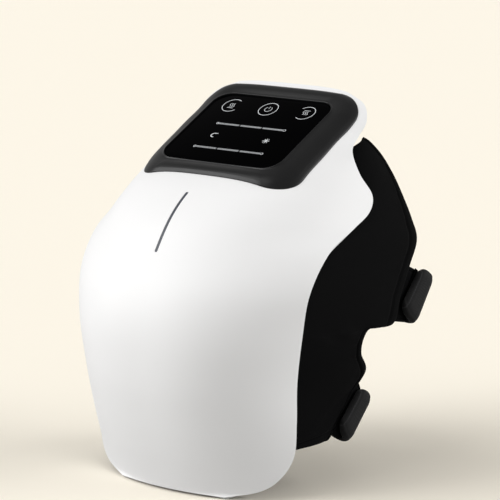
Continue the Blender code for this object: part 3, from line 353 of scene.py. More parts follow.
# colour, second colour, roughness, colour drift's scale, grain's scale, strength and depth, other sockets
plasticLooks = {
    "shellWhite": ((0.880, 0.880, 0.882), (0.868, 0.868, 0.871), 0.46, 9, 5200, 0.03, 0.02 * mm,
                   {"Coat_Weight": 0.06, "Coat_Roughness": 0.30, "Specular_IOR_Level": 0.45}),
    "bezelGrey": ((0.0042, 0.0043, 0.0047), (0.0062, 0.0063, 0.0067), 0.30, 30, 9000, 0.12, 0.03 * mm,
                  {"Specular_IOR_Level": 0.30}),
    "lensBlack": ((0.0006, 0.0006, 0.0007), (0.0010, 0.0010, 0.0012), 0.10, 12, 3000, 0.01, 0.01 * mm,
                  {"Specular_IOR_Level": 0.004}),
    "lightGuide": ((0.040, 0.048, 0.066), (0.055, 0.065, 0.084), 0.4, 90, 6000, 0.04, 0.02 * mm),
    # the white marks carry a faint painted glow from their emission, though they are only print
    "markWhiteGlow": ((0.72, 0.74, 0.75), (0.60, 0.62, 0.64), 0.45, 400, 9000, 0.05, 0.01 * mm,
                  {"Emission_Color": (0.8, 0.83, 0.85, 1), "Emission_Strength": 0.12}),
    "markGrey": ((0.30, 0.31, 0.32), (0.24, 0.25, 0.26), 0.5, 400, 9000, 0.05, 0.01 * mm),
    "frameBlack": ((0.012, 0.012, 0.013), (0.018, 0.018, 0.020), 0.55, 40, 3500, 0.25, 0.05 * mm),
    "partWhite": ((0.70, 0.70, 0.67), (0.64, 0.64, 0.61), 0.42, 60, 4000, 0.12, 0.04 * mm),
    "footRubber": ((0.020, 0.020, 0.020), (0.030, 0.029, 0.028), 0.80, 150, 2500, 0.3, 0.06 * mm),
    "cellBlue": ((0.020, 0.110, 0.380), (0.030, 0.140, 0.440), 0.32, 80, 2000, 0.06, 0.04 * mm),
    "bagFilm": ((0.22, 0.23, 0.24), (0.28, 0.29, 0.30), 0.42, 70, 1500, 0.2, 0.1 * mm),
    "hoseClear": ((0.66, 0.69, 0.70), (0.60, 0.63, 0.64), 0.25, 200, 3000, 0.05, 0.02 * mm),
}
plastics = {name: mouldedPlastic(name, *look) for name, look in plasticLooks.items()}


def knitFabric(name, colour, colourTwo, roughness, sheen, specular, ribs, ribAxis, courses, fuzzScale,
               driftScale, strength, depth):
    # A fine knit: rows of loops from two crossed waves, with fuzz and a slow drift in colour
    material = newMaterial(name, colour, roughness, 0, Sheen_Weight=sheen, Sheen_Roughness=0.45,
                           Specular_IOR_Level=specular)
    make = Maker(material)
    waves = []
    for scale, axis, distortion in ((ribs, ribAxis, 0.6), (courses, "Z", 0.5)):
        wave = make.add("TexWave", {"Vector": make.where.outputs["Object"], "Scale": scale, "Detail": 1.0,
                                    "Distortion": distortion, "Detail Scale": 2.0}, bands_direction=axis)
        waves.append(wave.outputs["Fac"])
    weave = make.maths("MULTIPLY", *waves)
    fuzz = make.noise(fuzzScale, 4)
    height = make.maths("ADD", weave, make.maths("MULTIPLY", fuzz, 0.6))
    drift = make.noise(driftScale, 3)
    make.colours(make.maths("ADD", make.maths("MULTIPLY", weave, 0.35), make.maths("MULTIPLY", drift, 0.6)),
                 colour, colourTwo)
    make.rough(make.band(fuzz, roughness * 0.9, roughness * 1.08))
    make.bump(height, strength, depth)
    return material


# colour, second colour, roughness, sheen, specular, ribs and their axis, courses, scales of fuzz and drift,
# bump's strength and depth
fabricLooks = {
    "padFabric": ((0.0008, 0.0008, 0.0009), (0.0020, 0.0020, 0.0023), 0.80, 0.016, 0.05,
                  520, "Y", 560, 2600, 22, 0.30, 0.12 * mm),
    "hemFabric": ((0.0012, 0.0012, 0.0014), (0.0026, 0.0026, 0.0030), 0.85, 0.015, 0.05,
                  700, "Y", 420, 3000, 40, 0.35, 0.12 * mm),
    "linerFabric": ((0.010, 0.010, 0.011), (0.020, 0.020, 0.022), 0.88, 0.25, 0.2,
                    300, "Y", 300, 1800, 25, 0.45, 0.20 * mm),
    "coverFabric": ((0.011, 0.011, 0.012), (0.022, 0.022, 0.024), 0.86, 0.25, 0.2,
                    260, "X", 260, 1700, 22, 0.5, 0.22 * mm),
    "loopTape": ((0.0007, 0.0007, 0.0008), (0.0016, 0.0016, 0.0017), 0.97, 0.01, 0.02,
                 900, "Y", 850, 2100, 60, 0.8, 0.35 * mm),
}
fabrics = {name: knitFabric(name, *look) for name, look in fabricLooks.items()}

webLook = {"colour": (0.0028, 0.0028, 0.0031), "colourTwo": (0.0080, 0.0080, 0.0086), "roughness": 0.70,
           "ribs": 15.0, "picks": 190.0, "thread": (0.030, 0.030, 0.033), "threadAt": 0.020,
           "threadHalf": 0.0016, "stitches": 260.0}


def webbing(name):
    # Elastic webbing from the strap's own map: lengthwise ribs, cross picks, and stitches near the free end
    material = newMaterial(name, webLook["colour"], webLook["roughness"], 0, Sheen_Weight=0.06,
                           Sheen_Roughness=0.4, Specular_IOR_Level=0.25)
    make = Maker(material)
    parts = make.add("SeparateXYZ", {0: make.where.outputs["UV"]})
    ribs = make.maths("SINE", make.maths("MULTIPLY", parts.outputs["Y"], webLook["ribs"] * 4 * math.pi))
    picks = make.maths("SINE", make.maths("MULTIPLY", parts.outputs["X"], webLook["picks"] * 2 * math.pi))
    weave = make.band(make.maths("MULTIPLY", ribs, picks), 0.0, 1.0)
    fuzz = make.noise(2600, 4)
    height = make.maths("ADD", weave, make.maths("MULTIPLY", fuzz, 0.5))
    off = make.maths("ABSOLUTE", make.maths("SUBTRACT", parts.outputs["X"], webLook["threadAt"]))
    dashes = make.maths("SINE", make.maths("MULTIPLY", parts.outputs["Y"], webLook["stitches"]))
    thread = make.maths("MULTIPLY", make.maths("LESS_THAN", off, webLook["threadHalf"]),
                        make.maths("GREATER_THAN", dashes, -0.4))
    cloth = make.colours(make.maths("MULTIPLY", height, 0.55), webLook["colour"], webLook["colourTwo"])
    mix = make.add("MixRGB", {"Fac": thread, "Color1": cloth, "Color2": (*webLook["thread"], 1)})
    make.links.new(mix.outputs[0], make.shader.inputs["Base Color"])
    height = make.maths("ADD", height, thread)
    make.rough(make.band(fuzz, 0.64, 0.84))
    make.bump(height, 0.45, 0.16 * mm)
    return material


strapWeb = webbing("strapWeb")


def metal(name, colour, roughness, brush):
    material = newMaterial(name, colour, roughness, 1)
    make = Maker(material)
    stretched = make.add("Mapping", {"Vector": make.where.outputs["Object"], "Scale": brush})
    grain = make.noise(900, 4, stretched.outputs[0])
    make.colours(make.noise(60, 3), colour, tuple(0.86 * c for c in colour))
    make.rough(make.band(grain, roughness * 0.75, roughness * 1.4))
    make.bump(grain, 0.08, 0.03 * mm)
    return material


metals = {
    "steelBright": metal("steelBright", (0.60, 0.60, 0.62), 0.28, (1, 1, 8)),
    "steelDark": metal("steelDark", (0.22, 0.22, 0.23), 0.36, (1, 8, 8)),
    "brassPlain": metal("brassPlain", (0.72, 0.52, 0.22), 0.30, (6, 1, 1)),
}


def boardMaterial():
    # Solder mask over copper runs, with pale pads
    material = newMaterial("boardMask", (0.010, 0.110, 0.040), 0.35, 0, Coat_Weight=0.3)
    make = Maker(material)
    runs = make.add("TexBrick", {"Vector": make.where.outputs["Object"], "Scale": 180.0, "Mortar Size": 0.012,
                                 "Color1": (0.010, 0.110, 0.040, 1), "Color2": (0.014, 0.135, 0.050, 1),
                                 "Mortar": (0.030, 0.240, 0.100, 1)})
    make.links.new(runs.outputs["Color"], make.shader.inputs["Base Color"])
    make.rough(make.band(make.noise(500, 3), 0.28, 0.45))
    make.bump(runs.outputs["Fac"], 0.2, 0.05 * mm)
    return material


def foamMaterial():
    material = newMaterial("foamOpen", (0.10, 0.10, 0.11), 0.95)
    make = Maker(material)
    cells = make.add("TexVoronoi", {"Vector": make.where.outputs["Object"],
                                    "Scale": 900.0}).outputs["Distance"]
    make.colours(cells, (0.06, 0.06, 0.066), (0.15, 0.15, 0.16))
    make.rough(make.band(cells, 0.88, 1.0))
    make.bump(cells, 0.6, 0.3 * mm)
    return material


def filmMaterial():
    # Amber film with darker heating tracks
    material = newMaterial("heatingFilm", (0.50, 0.22, 0.04), 0.30, 0, Coat_Weight=0.4)
    make = Maker(material)
    tracks = make.add("TexWave", {"Vector": make.where.outputs["Object"], "Scale": 26.0, "Distortion": 1.5,
                                  "Detail": 0.0}, bands_direction="Z").outputs["Fac"]
    line = make.maths("GREATER_THAN", tracks, 0.86)
    make.colours(line, (0.50, 0.22, 0.04), (0.17, 0.06, 0.012))
    make.rough(make.band(make.noise(300, 3), 0.24, 0.40))
    make.bump(line, 0.3, 0.06 * mm)
    return material


boardMask, foamOpen, heatingFilm = boardMaterial(), foamMaterial(), filmMaterial()
print("materials made")

# Front shell
panel = {
    "slope": math.radians(27.1), "centre": Vector((0, 70.0 * mm, 186.3 * mm)),
    "lensHalfWidth": 40.0 * mm, "lensHalfLength": 31.8 * mm, "lensCorner": 10.0 * mm,
    "lensLow": -2.2 * mm, "lensHigh": -0.35 * mm, "lensGap": 0.3 * mm,
    "sideBorder": 12.6 * mm, "endBorder": 9.8 * mm, "bezelCorner": 15.5 * mm,
    "bulge": 1.5 * mm, "overlap": 0.5 * mm, "seat": 0.4 * mm, "proud": 0.25 * mm, "innerProud": 0.1 * mm,
    "runOff": -1.5 * mm,
    # share of the way in and share of the bulge, once round the bezel's section
    "profile": (
        (0.00, -2.2), (0.00, -0.9), (0.00, 0.0), (0.02, 0.18), (0.08, 0.45), (0.18, 0.80), (0.30, 1.00),
        (0.45, 1.00), (0.60, 0.82), (0.74, 0.50), (0.86, 0.18), (0.93, 0.04), (0.955, 0.12), (0.985, 0.16),
        (1.00, 0.05), (1.00, -1.4), (0.86, -1.9), (0.60, -1.9), (0.25, -1.9),
    ),
}
panelMatrix = Matrix.Translation(panel["centre"]) @ Matrix.Rotation(panel["slope"], 4, "X")
panelUp = (panelMatrix.to_3x3() @ Vector((0, 0, 1))).normalized()
bezelHalf = (panel["lensHalfWidth"] + panel["sideBorder"], panel["lensHalfLength"] + panel["endBorder"])


def onPanel(x, y, high=0.0):
    return panelMatrix @ Vector((x, y, high))


frontShell = gridPiece("frontShell", 120, 150, lambda u, v: shellPoint(topRow * v, 2 * u - 1))
probeHeight = 20 * mm


def shellDrop(x, y):
    # How far the shell's surface lies over the panel's plane
    found, place, *_ = frontShell.ray_cast(onPanel(x, y, probeHeight), -panelUp)
    return (place - onPanel(x, y)).dot(panelUp) if found else panel["runOff"]


def roundedOutline(halfWidth, halfLength, corner, share):
    # A point of a rounded rectangle, at a share of the way round it by angle and straight run
    quarter = min(int(share * 4), 3)
    within = share * 4 - quarter
    cornerPart = 0.5
    centreX = (halfWidth - corner) * (1, -1, -1, 1)[quarter]
    centreY = (halfLength - corner) * (1, 1, -1, -1)[quarter]
    nextX = (halfWidth - corner) * (-1, -1, 1, 1)[quarter]
    nextY = (halfLength - corner) * (1, -1, -1, 1)[quarter]
    start = math.pi / 2 * quarter
    if within < cornerPart:
        angle = start + math.pi / 2 * within / cornerPart
        return centreX + corner * math.cos(angle), centreY + corner * math.sin(angle)
    run = (within - cornerPart) / (1 - cornerPart)
    angle = start + math.pi / 2
    x, y = centreX + (nextX - centreX) * run, centreY + (nextY - centreY) * run
    return x + corner * math.cos(angle), y + corner * math.sin(angle)


outlineSteps = 160


def outlineOf(halfWidth, halfLength, corner, grow):
    return [roundedOutline(halfWidth + grow, halfLength + grow, corner + grow, i / outlineSteps)
            for i in range(outlineSteps)]


outerLine = outlineOf(*bezelHalf, panel["bezelCorner"], panel["overlap"])
innerLine = outlineOf(panel["lensHalfWidth"], panel["lensHalfLength"], panel["lensCorner"], panel["lensGap"])
dropLine = [shellDrop(x, y) for x, y in outerLine]
for turn in range(3):  # evens out the drop where the outline runs off the rim
    dropLine = [(dropLine[i - 1] + 2 * dropLine[i] + dropLine[(i + 1) % outlineSteps]) / 4
                for i in range(outlineSteps)]

applyModifier(frontShell, "SOLIDIFY", thickness=shellShape["wall"], offset=-1)
cutWith(frontShell, roundedPlate("bezelCutter", bezelHalf[0] - panel["seat"], bezelHalf[1] - panel["seat"],
                                 panel["bezelCorner"], -probeHeight, probeHeight, panelMatrix))

# Light bar, in its slit on the centre line
lightBar = {"lowRow": 8.02, "highRow": 10.02, "halfWidth": 0.78 * mm, "endWidth": 0.2 * mm, "rim": 0.2 * mm,
            "clearance": 0.15 * mm, "sink": 0.10 * mm, "depth": 3.0 * mm, "slitDepth": 6.0 * mm}


def barPoint(u, v, grow=0.0):
    row = lightBar["lowRow"] + (lightBar["highRow"] - lightBar["lowRow"]) * v
    span = (shellPoint(lightBar["highRow"], 0) - shellPoint(lightBar["lowRow"], 0)).length
    near = min(v, 1 - v) * span
    half = lightBar["halfWidth"] * rollShare(near + lightBar["endWidth"], lightBar["halfWidth"]) + grow
    place = shellPoint(row, 0) + sideways * (2 * u - 1) * half
    return place - shellNormal(row, 0) * (lightBar["sink"] - grow)


slit = gridPiece("slitCutter", 2, 60, lambda u, v: barPoint(u, v, lightBar["clearance"]))
applyModifier(slit, "SOLIDIFY", thickness=lightBar["slitDepth"], offset=0)
cutWith(frontShell, slit)
bevelEdges(frontShell, shellShape["rimRadius"], 3, 50)
dress(frontShell, plastics["shellWhite"], "shell_white", replaced=("front_shell",), smoothAngle=35)
bar = gridPiece("lightBar", 6, 80, barPoint)
applyModifier(bar, "SOLIDIFY", thickness=lightBar["depth"], offset=-1)
bevelEdges(bar, lightBar["rim"], 2, 50)
dress(bar, plastics["lightGuide"], "light_smoke", replaced=("light_bar",))
print("front shell and light bar made")


# Bezel: outer edge on the shell, a rounded band, a fine lip and the wall round the lens
def bezelPoint(u, v):
    index = round(u * outlineSteps) % outlineSteps
    (outX, outY), (inX, inY), drop = outerLine[index], innerLine[index], dropLine[index]
    profile = panel["profile"]
    step = v * len(profile)
    low, share = int(step) % len(profile), step - int(step)
    one, two = profile[low], profile[(low + 1) % len(profile)]
    inward = one[0] + (two[0] - one[0]) * share
    lift = (one[1] + (two[1] - one[1]) * share) * panel["bulge"]
    base = (drop + panel["proud"]) * (1 - inward) + panel["innerProud"] * inward
    return onPanel(outX + (inX - outX) * inward, outY + (inY - outY) * inward, base + lift)


bezel = gridPiece("panelBezel", outlineSteps, len(panel["profile"]) * 3, bezelPoint)
closeSeams(bezel)
dress(bezel, plastics["bezelGrey"], "bezel_grey", replaced=("panel_bezel",), smoothAngle=55)

# Touch lens and its printed marks, the white ones with a faint painted glow, all in millimetres
lens = roundedPlate("touchLens", panel["lensHalfWidth"], panel["lensHalfLength"], panel["lensCorner"],
                    panel["lensLow"], panel["lensHigh"], panelMatrix, rim=0.35 * mm)
dress(lens, plastics["lensBlack"], "lens_black", replaced=("touch_lens",))
marks = {"thickness": 0.05, "ringRow": 21.0, "ringPitch": 25.5, "ringRadius": 5.8, "line": 0.34, "fine": 0.26,
         "wavePitch": 1.3, "baseHalf": 2.0, "baseAway": 2.3, "powerRadius": 2.2, "powerLine": (0.4, 2.4),
         "barRows": {"upper": 3.5, "lower": -19.0}, "barHalf": 23.1, "dotGap": 0.5, "barLine": 1.35,
         "coreRise": 0.1, "coreLine": 0.55, "dotRadius": 0.75, "dotLine": 0.25, "iconRow": -7.5,
         "iconPlace": 18.0, "moonRadius": 1.7, "moonLine": 0.55, "moonTip": (0, 1.5, 1.8, 1.9),
         "moonTipLine": 0.4, "rays": (0.7, 2.2), "rayLine": 0.30, "sunRadius": 0.45, "sunLine": 0.5}


def markPiece(name, steps, lineAt, width, material=plastics["markWhiteGlow"]):
    # A flat printed line on the lens: lineAt gives its middle and it is a width wide
    def pointAt(u, v):
        x, y = lineAt(v)
        ahead, behind = lineAt(min(v + 0.01, 1)), lineAt(max(v - 0.01, 0))
        way = Vector((ahead[0] - behind[0], ahead[1] - behind[1]))
        way.normalize()
        across = Vector((-way.y, way.x)) * width * (u - 0.5)
        return onPanel((x + across.x) * mm, (y + across.y) * mm, panel["lensHigh"] + thickness / 2)

    thickness = marks["thickness"] * mm
    piece = gridPiece(name, 2, steps, pointAt)
    applyModifier(piece, "SOLIDIFY", thickness=thickness, offset=0)
    editAll(piece)
    turnOutwards()
    return dress(piece, material, "shell_white")


def arc(x, y, radius, start, sweep=359.9):
    return lambda t: (x + radius * math.cos(math.radians(start + sweep * t)),
                      y + radius * math.sin(math.radians(start + sweep * t)))


def straight(x, y, u, w):
    return lambda t: (x + (u - x) * t, y + (w - y) * t)


def wavy(x, y, length, swing):
    return lambda t: (x + swing * math.sin(2 * math.pi * t), y + length * (t - 0.5))


line, fine, pitch, radius = (marks[key] for key in ("line", "fine", "ringPitch", "ringRadius"))
ringY, iconY, iconX = marks["ringRow"], marks["iconRow"], marks["iconPlace"]
half, away = marks["baseHalf"], marks["baseAway"]
markPiece("ringLeft", 48, arc(-pitch, ringY, radius, 55, 265), line)
markPiece("ringMiddle", 60, arc(0, ringY, radius, 0), line)
markPiece("ringRight", 48, arc(pitch, ringY, radius, -125, 265), line)
for number, letter in enumerate("ABC", -1):
    shift = number * marks["wavePitch"]
    markPiece("heatWave" + letter, 16, wavy(shift - pitch, ringY + 0.2, 3.6, 0.45), fine)
    markPiece("shakeWave" + letter, 16, wavy(shift + pitch, ringY - 0.1, 3.2, 0.6), fine)
markPiece("heatBase", 4, straight(-pitch - half, ringY - away, -pitch + half, ringY - away), fine)
markPiece("shakeBase", 4, straight(pitch - half, ringY + away, pitch + half, ringY + away), fine)
markPiece("powerArc", 30, arc(0, ringY, marks["powerRadius"], 125, 290), fine)
markPiece("powerLine", 4, straight(0, ringY + marks["powerLine"][0], 0, ringY + marks["powerLine"][1]), fine)
for level, y in marks["barRows"].items():
    third = 2 * marks["barHalf"] / 3
    for number, letter in enumerate("ABC"):
        left = -marks["barHalf"] + number * third
        start, end = left + (marks["dotGap"] if number else 0), left + third - marks["dotGap"]
        markPiece(level + "Segment" + letter, 6, straight(start, y, end, y), marks["barLine"],
                  plastics["markGrey"])
        core = y + marks["coreRise"]
        markPiece(level + "Core" + letter, 6, straight(start, core, end, core), marks["coreLine"])
    for word, x in (("End", marks["barHalf"]), ("Start", -marks["barHalf"])):
        markPiece(level + word + "Ring", 20, arc(x, y, marks["dotRadius"], 0), marks["dotLine"])
markPiece("moonArc", 20, arc(-iconX, iconY, marks["moonRadius"], 70, 220), marks["moonLine"])
fromX, fromY, toX, toY = marks["moonTip"]
markPiece("moonTip", 8, straight(fromX - iconX, fromY + iconY, toX - iconX, toY + iconY), marks["moonTipLine"])
for number, letter in enumerate("ABCDEFGH"):
    way = Vector((math.cos(math.pi * number / 4), math.sin(math.pi * number / 4)))
    near, far = way * marks["rays"][0], way * marks["rays"][1]
    markPiece("sunRay" + letter, 3, straight(iconX + near.x, iconY + near.y, iconX + far.x, iconY + far.y),
              marks["rayLine"])
markPiece("sunDisc", 12, arc(iconX, iconY, marks["sunRadius"], 0), marks["sunLine"])
print("panel made")

# Wings
wingShape = {
    "rearHalfWidth": 76.0 * mm, "crown": 1.6 * mm, "under": 4.1 * mm, "tuck": 0.90, "edge": 0.98,
    "thick": 8.4 * mm, "thickens": (0.24, 0.42), "root": 3.6 * mm, "topRoot": 1.4 * mm,
    "pocket": 3.4 * mm, "pocketOver": (0.50, 0.57, 0.84, 0.91), "pocketAlong": (0.17, 0.20, 0.83, 0.87),
    "hem": 6.0 * mm, "groove": 0.9 * mm, "grooveWidth": 0.8 * mm, "grooveStart": (0.15, 0.3),
    "reach": (-0.023, 16 / 15), "upStep": 0.07, "upOver": 0.3,
    "steps": (180, 110), "spans": (168 * mm, 88 * mm), "roll": 3.2 * mm, "seam": 0.18,
    # place from the hem and width, then turns, start and height of each ripple
    "beside": (2.2 * mm, 2.6 * mm), "ripples": ((150, 0, 0.14), (83, 1.3, 0.12)),
    # place and width along, start and end over, turns over and along, height
    "pulls": ((0.40, 0.05, 0.30, 0.75, 22, 52, 0.50), (0.10, 0.07, 0.35, 0.8, 17, -45, 0.30)),
    # shell row, rear width, rear depth, rear height, from the lower front corner up
    "rows": (
        (3.20, 0.908, 0.513, 0.142),
        (3.50, 0.908, 0.595, 0.190),
        (3.90, 0.915, 0.680, 0.238),
        (4.40, 0.960, 0.744, 0.291),
        (5.00, 1.000, 0.666, 0.345),
        (5.45, 1.004, 0.685, 0.385),
        (5.80, 1.004, 0.757, 0.407),
        (6.10, 1.000, 0.937, 0.398),
        (6.50, 1.000, 0.995, 0.467),
        (7.00, 1.000, 1.068, 0.540),
        (7.60, 1.000, 1.130, 0.607),
        (8.30, 0.974, 1.108, 0.665),
        (9.00, 0.921, 1.080, 0.727),
        (9.80, 0.868, 1.045, 0.785),
        (11.00, 0.816, 0.995, 0.838),
        (12.20, 0.790, 0.920, 0.877),
        (13.40, 0.772, 0.875, 0.890),
    ),
}
# a share of 1 lies at this station: the pad itself reaches one further, under the shell's upper corner
topStation = 15


@functools.lru_cache(maxsize=None)
def wingStation(along):
    row, wide, deep, high = splineValue(wingShape["rows"], topStation * along)
    tuck, edge = (shellPoint(row, wingShape[side]) - shellNormal(row, wingShape[side]) * wingShape["under"]
                  for side in ("tuck", "edge"))
    rear = Vector((wide * wingShape["rearHalfWidth"], deep * shellShape["depth"], high * shellShape["height"]))
    swell = Vector((wingShape["crown"], 0, 0))
    return tuck, edge, edge.lerp(rear, 1 / 3) + swell, edge.lerp(rear, 2 / 3) + swell, rear


@functools.lru_cache(maxsize=None)
def wingPoint(along, over):
    return Vector(splineValue(wingStation(along), 4 * over))


def surfaceWith(pointAt, step=0.012):
    # Adds the outward direction to a surface, by small steps on it
    known = {}

    def found(along, over):
        key = (round(along, 5), round(over, 5))
        if key not in known:
            up = pointAt(min(along + step, 1), over) - pointAt(max(along - step, 0), over)
            out = pointAt(along, min(over + step, 1)) - pointAt(along, max(over - step, 0))
            known[key] = (pointAt(along, over), out.cross(up).normalized())
        return known[key]

    return found
@functools.lru_cache(maxsize=None)
def wingSurface(along, over, step=0.02):
    # The upward line is taken along the shell's edge, because the rear edge doubles back at the knee
    low, high = wingShape["reach"]
    upStep, upOver = wingShape["upStep"], wingShape["upOver"]
    up = wingPoint(min(along + upStep, high), upOver) - wingPoint(max(along - upStep, low), upOver)
    out = wingPoint(along, min(over + step, 1)) - wingPoint(along, max(over - step, 0))
    return wingPoint(along, over), out.cross(up).normalized()


def part(surface, alongRange, overRange):
    # A window of a surface, with its own shares from 0 to 1
    def found(along, over):
        return surface(alongRange[0] + (alongRange[1] - alongRange[0]) * along,
                       overRange[0] + (overRange[1] - overRange[0]) * over)

    return found


def hemGroove(along, over):
    # The sewn line a hem's width in from the rear and lower edges
    inward = ((1 - over) * wingShape["spans"][1], along * wingShape["spans"][0])
    groove = max(ridge(distance - wingShape["hem"], wingShape["grooveWidth"]) for distance in inward)
    return groove * wingShape["groove"] * smooth(*wingShape["grooveStart"], over)


def puckers(along, over):
    # Shallow pulls in the fabric: beside the hem seam, and fanning out under each ear
    place, width = wingShape["beside"]
    beside = ridge((1 - over) * wingShape["spans"][1] - wingShape["hem"] - place, width)
    lift = beside * sum(math.sin(along * turns + start) * height
                        for turns, start, height in wingShape["ripples"])
    for place, width, start, end, overTurns, alongTurns, height in wingShape["pulls"]:
        fan = ridge(along - place, width) * smooth(start, end, over)
        lift += fan * math.sin(over * overTurns + along * alongTurns) * height
    return lift * mm


def wingNear(along, over):
    return hemGroove(along, over) + puckers(along, over)


def wingFar(padAlong, over):
    low, high = wingShape["reach"]
    along = low + (high - low) * padAlong
    full = wingShape["root"] + (wingShape["thick"] - wingShape["root"]) * smooth(*wingShape["thickens"], over)
    full -= (full - wingShape["topRoot"]) * smooth(1.0, high, along)
    pocket = plateau(over, *wingShape["pocketOver"]) * plateau(along, *wingShape["pocketAlong"])
    return full - wingShape["pocket"] * pocket


wingRight = pillow("wingPadRight", wingShape, part(wingSurface, wingShape["reach"], (0, 1)), wingNear, wingFar)
wingLeft = mirrorPiece(wingRight, "wingPadLeft")
for piece, node in ((wingRight, "wing_right"), (wingLeft, "wing_left")):
    dress(piece, fabrics["padFabric"], "fabric_black", replaced=(node,), smoothAngle=70)
print("wings made")

# Air bags, in the wings' pockets, and the liners over them
bagShape = {"along": (6.3 / 30, 24.7 / 30), "over": (7.1 / 12, 9.9 / 12), "near": 5.4 * mm, "thick": 2.6 * mm,
            "waist": 0.72, "lobes": 3, "steps": (90, 26), "spans": (96 * mm, 24 * mm), "roll": 2.4 * mm}
linerShape = {"along": (0.010, 0.955), "over": (5 / 12, 0.995), "near": 9.0 * mm, "thick": 2.4 * mm,
              "quilt": 0.9 * mm, "channels": (0.26, 0.50, 0.74), "channelWidth": 0.012,
              "steps": (150, 50), "spans": (150 * mm, 51 * mm), "roll": 1.6 * mm}


def bagFar(along, over):
    lobe = abs(math.sin(bagShape["lobes"] * math.pi * along))
    return bagShape["near"] + bagShape["thick"] * (bagShape["waist"] + (1 - bagShape["waist"]) * lobe)


def linerFar(along, over):
    groove = max(ridge(along - line, linerShape["channelWidth"]) for line in linerShape["channels"])
    return linerShape["near"] + linerShape["thick"] - linerShape["quilt"] * groove


for word, node, shape, farAt, material, slot in (
        ("airBag", "airbag_", bagShape, bagFar, plastics["bagFilm"], "bag_grey"),
        ("liner", "liner_", linerShape, linerFar, fabrics["linerFabric"], "fabric_black")):
    right = pillow(word + "Right", shape, part(wingSurface, shape["along"], shape["over"]),
                   lambda along, over, shape=shape: shape["near"], farAt)
    left = mirrorPiece(right, word + "Left")
    for piece, hand in ((right, "right"), (left, "left")):
        dress(piece, material, slot, replaced=(node + hand,), smoothAngle=70)
print("bags and liners made")

# Ears, tapes and straps
earShape = {"thick": 4.0 * mm, "margin": 1.0 * mm, "taper": 2.6 * mm, "sunk": 0.6 * mm, "deep": 4.2 * mm,
            "shy": 0.1 * mm, "setback": 5.2 * mm, "long": 16.0 * mm, "steps": (70, 40), "roll": 1.9 * mm,
            "seamPlace": 2.6 * mm, "seamWidth": 0.4 * mm, "seamDepth": 0.35 * mm}
lugShape = {"length": 3.8 * mm, "wall": 1.6 * mm, "clearance": 0.6 * mm, "corner": 2.2 * mm, "rim": 0.5 * mm}
tapeShape = {"thick": 0.7 * mm, "inset": 3.0 * mm, "steps": (60, 24), "roll": 0.35 * mm}
strapShape = {
    "width": 30.0 * mm, "thick": 2.0 * mm, "corner": 7.5 * mm, "gap": 0.3 * mm, "pin": 2.0 * mm,
    "pinClearance": 0.4 * mm, "padding": 2.6 * mm, "paddingEnds": (14 * mm, 24 * mm), "puff": 6.0 * mm,
    "endRound": 1.6 * mm, "ringRound": 0.8 * mm, "leastEnd": 0.02, "edgeRound": 1.0 * mm,
    "bulgePower": 1.5, "ringTurn": math.radians(260),
    # depth, place and width of the sewn lines
    "edgeSeam": (0.16 * mm, 2.2 * mm, 0.35 * mm), "endSeam": (0.30 * mm, 2.0 * mm, 0.5 * mm),
    # faces on the free end, round the fold, behind the knee, round the pin and across
    "endSteps": 22, "foldSteps": 18, "kneeSteps": 120, "ringSteps": 39, "crossSteps": 96,
}
closures = {
    "upper": {"fold": Vector((71.0, 126.9, 94.3)) * mm, "foldTilt": math.radians(36), "bulge": 20.0 * mm,
              "pin": Vector((-71.0, 130.0, 96.0)) * mm, "pinTilt": math.radians(24),
              "stations": (14 / 30, 18 / 30), "tape": 10.0 * mm, "end": 9.0 * mm, "flare": 2.5 * mm},
    "lower": {"fold": Vector((67.0, 73.3, 37.5)) * mm, "foldTilt": math.radians(44.5), "bulge": 36.0 * mm,
              "pin": Vector((-67.0, 86.0, 37.0)) * mm, "pinTilt": math.radians(6),
              "stations": (0.0, 5 / 30), "tape": 5.6 * mm, "end": 7.2 * mm, "flare": 0.8 * mm},
}


def lineAxes(tilt):
    return Vector((0, math.sin(tilt), math.cos(tilt))), Vector((0, math.cos(tilt), -math.sin(tilt)))


def hemPoint(closure, share, back, x):
    # The wing's rear edge beside an ear, which is sewn a little way into it
    first, last = closure["stations"]
    point, normal = wingSurface(first + (last - first) * share, 1.0)
    middle = point - normal * earShape["deep"]
    return Vector((x, middle.y, middle.z)) - back * earShape["sunk"]


def earPiece(name, closure, side):
    # A padded tab from the wing's rear edge to the fold, or on the left side to the pin
    right = side > 0
    along, back = lineAxes(closure["foldTilt"] if right else closure["pinTilt"])
    middle = closure["fold"] if right else closure["pin"] * Vector((-1, 1, 1))
    if right:
        half, edgeBack = earShape["margin"], back * (earShape["thick"] / 2 - earShape["shy"])
    else:
        half, edgeBack = lugShape["clearance"] + lugShape["length"], -back * earShape["setback"]
    half += strapShape["width"] / 2

    def surfaceAt(u, v):
        hem = hemPoint(closure, u, back, middle.x)
        taper = earShape["taper"] * v if right else 0
        edge = middle + edgeBack + along * (half * (2 * u - 1) - taper * u)
        point = hem.lerp(edge, v)
        return Vector((point.x * side, point.y, point.z)), sideways

    def reach(u, v):
        seam = min(abs(u * 2 * half - earShape["seamPlace"]), abs((1 - u) * 2 * half - earShape["seamPlace"]))
        return earShape["thick"] / 2 - earShape["seamDepth"] * ridge(seam, earShape["seamWidth"])

    shape = dict(earShape, spans=(2 * half, earShape["long"]))
    return pillow(name, shape, surfaceAt, lambda u, v: -reach(u, v), reach)


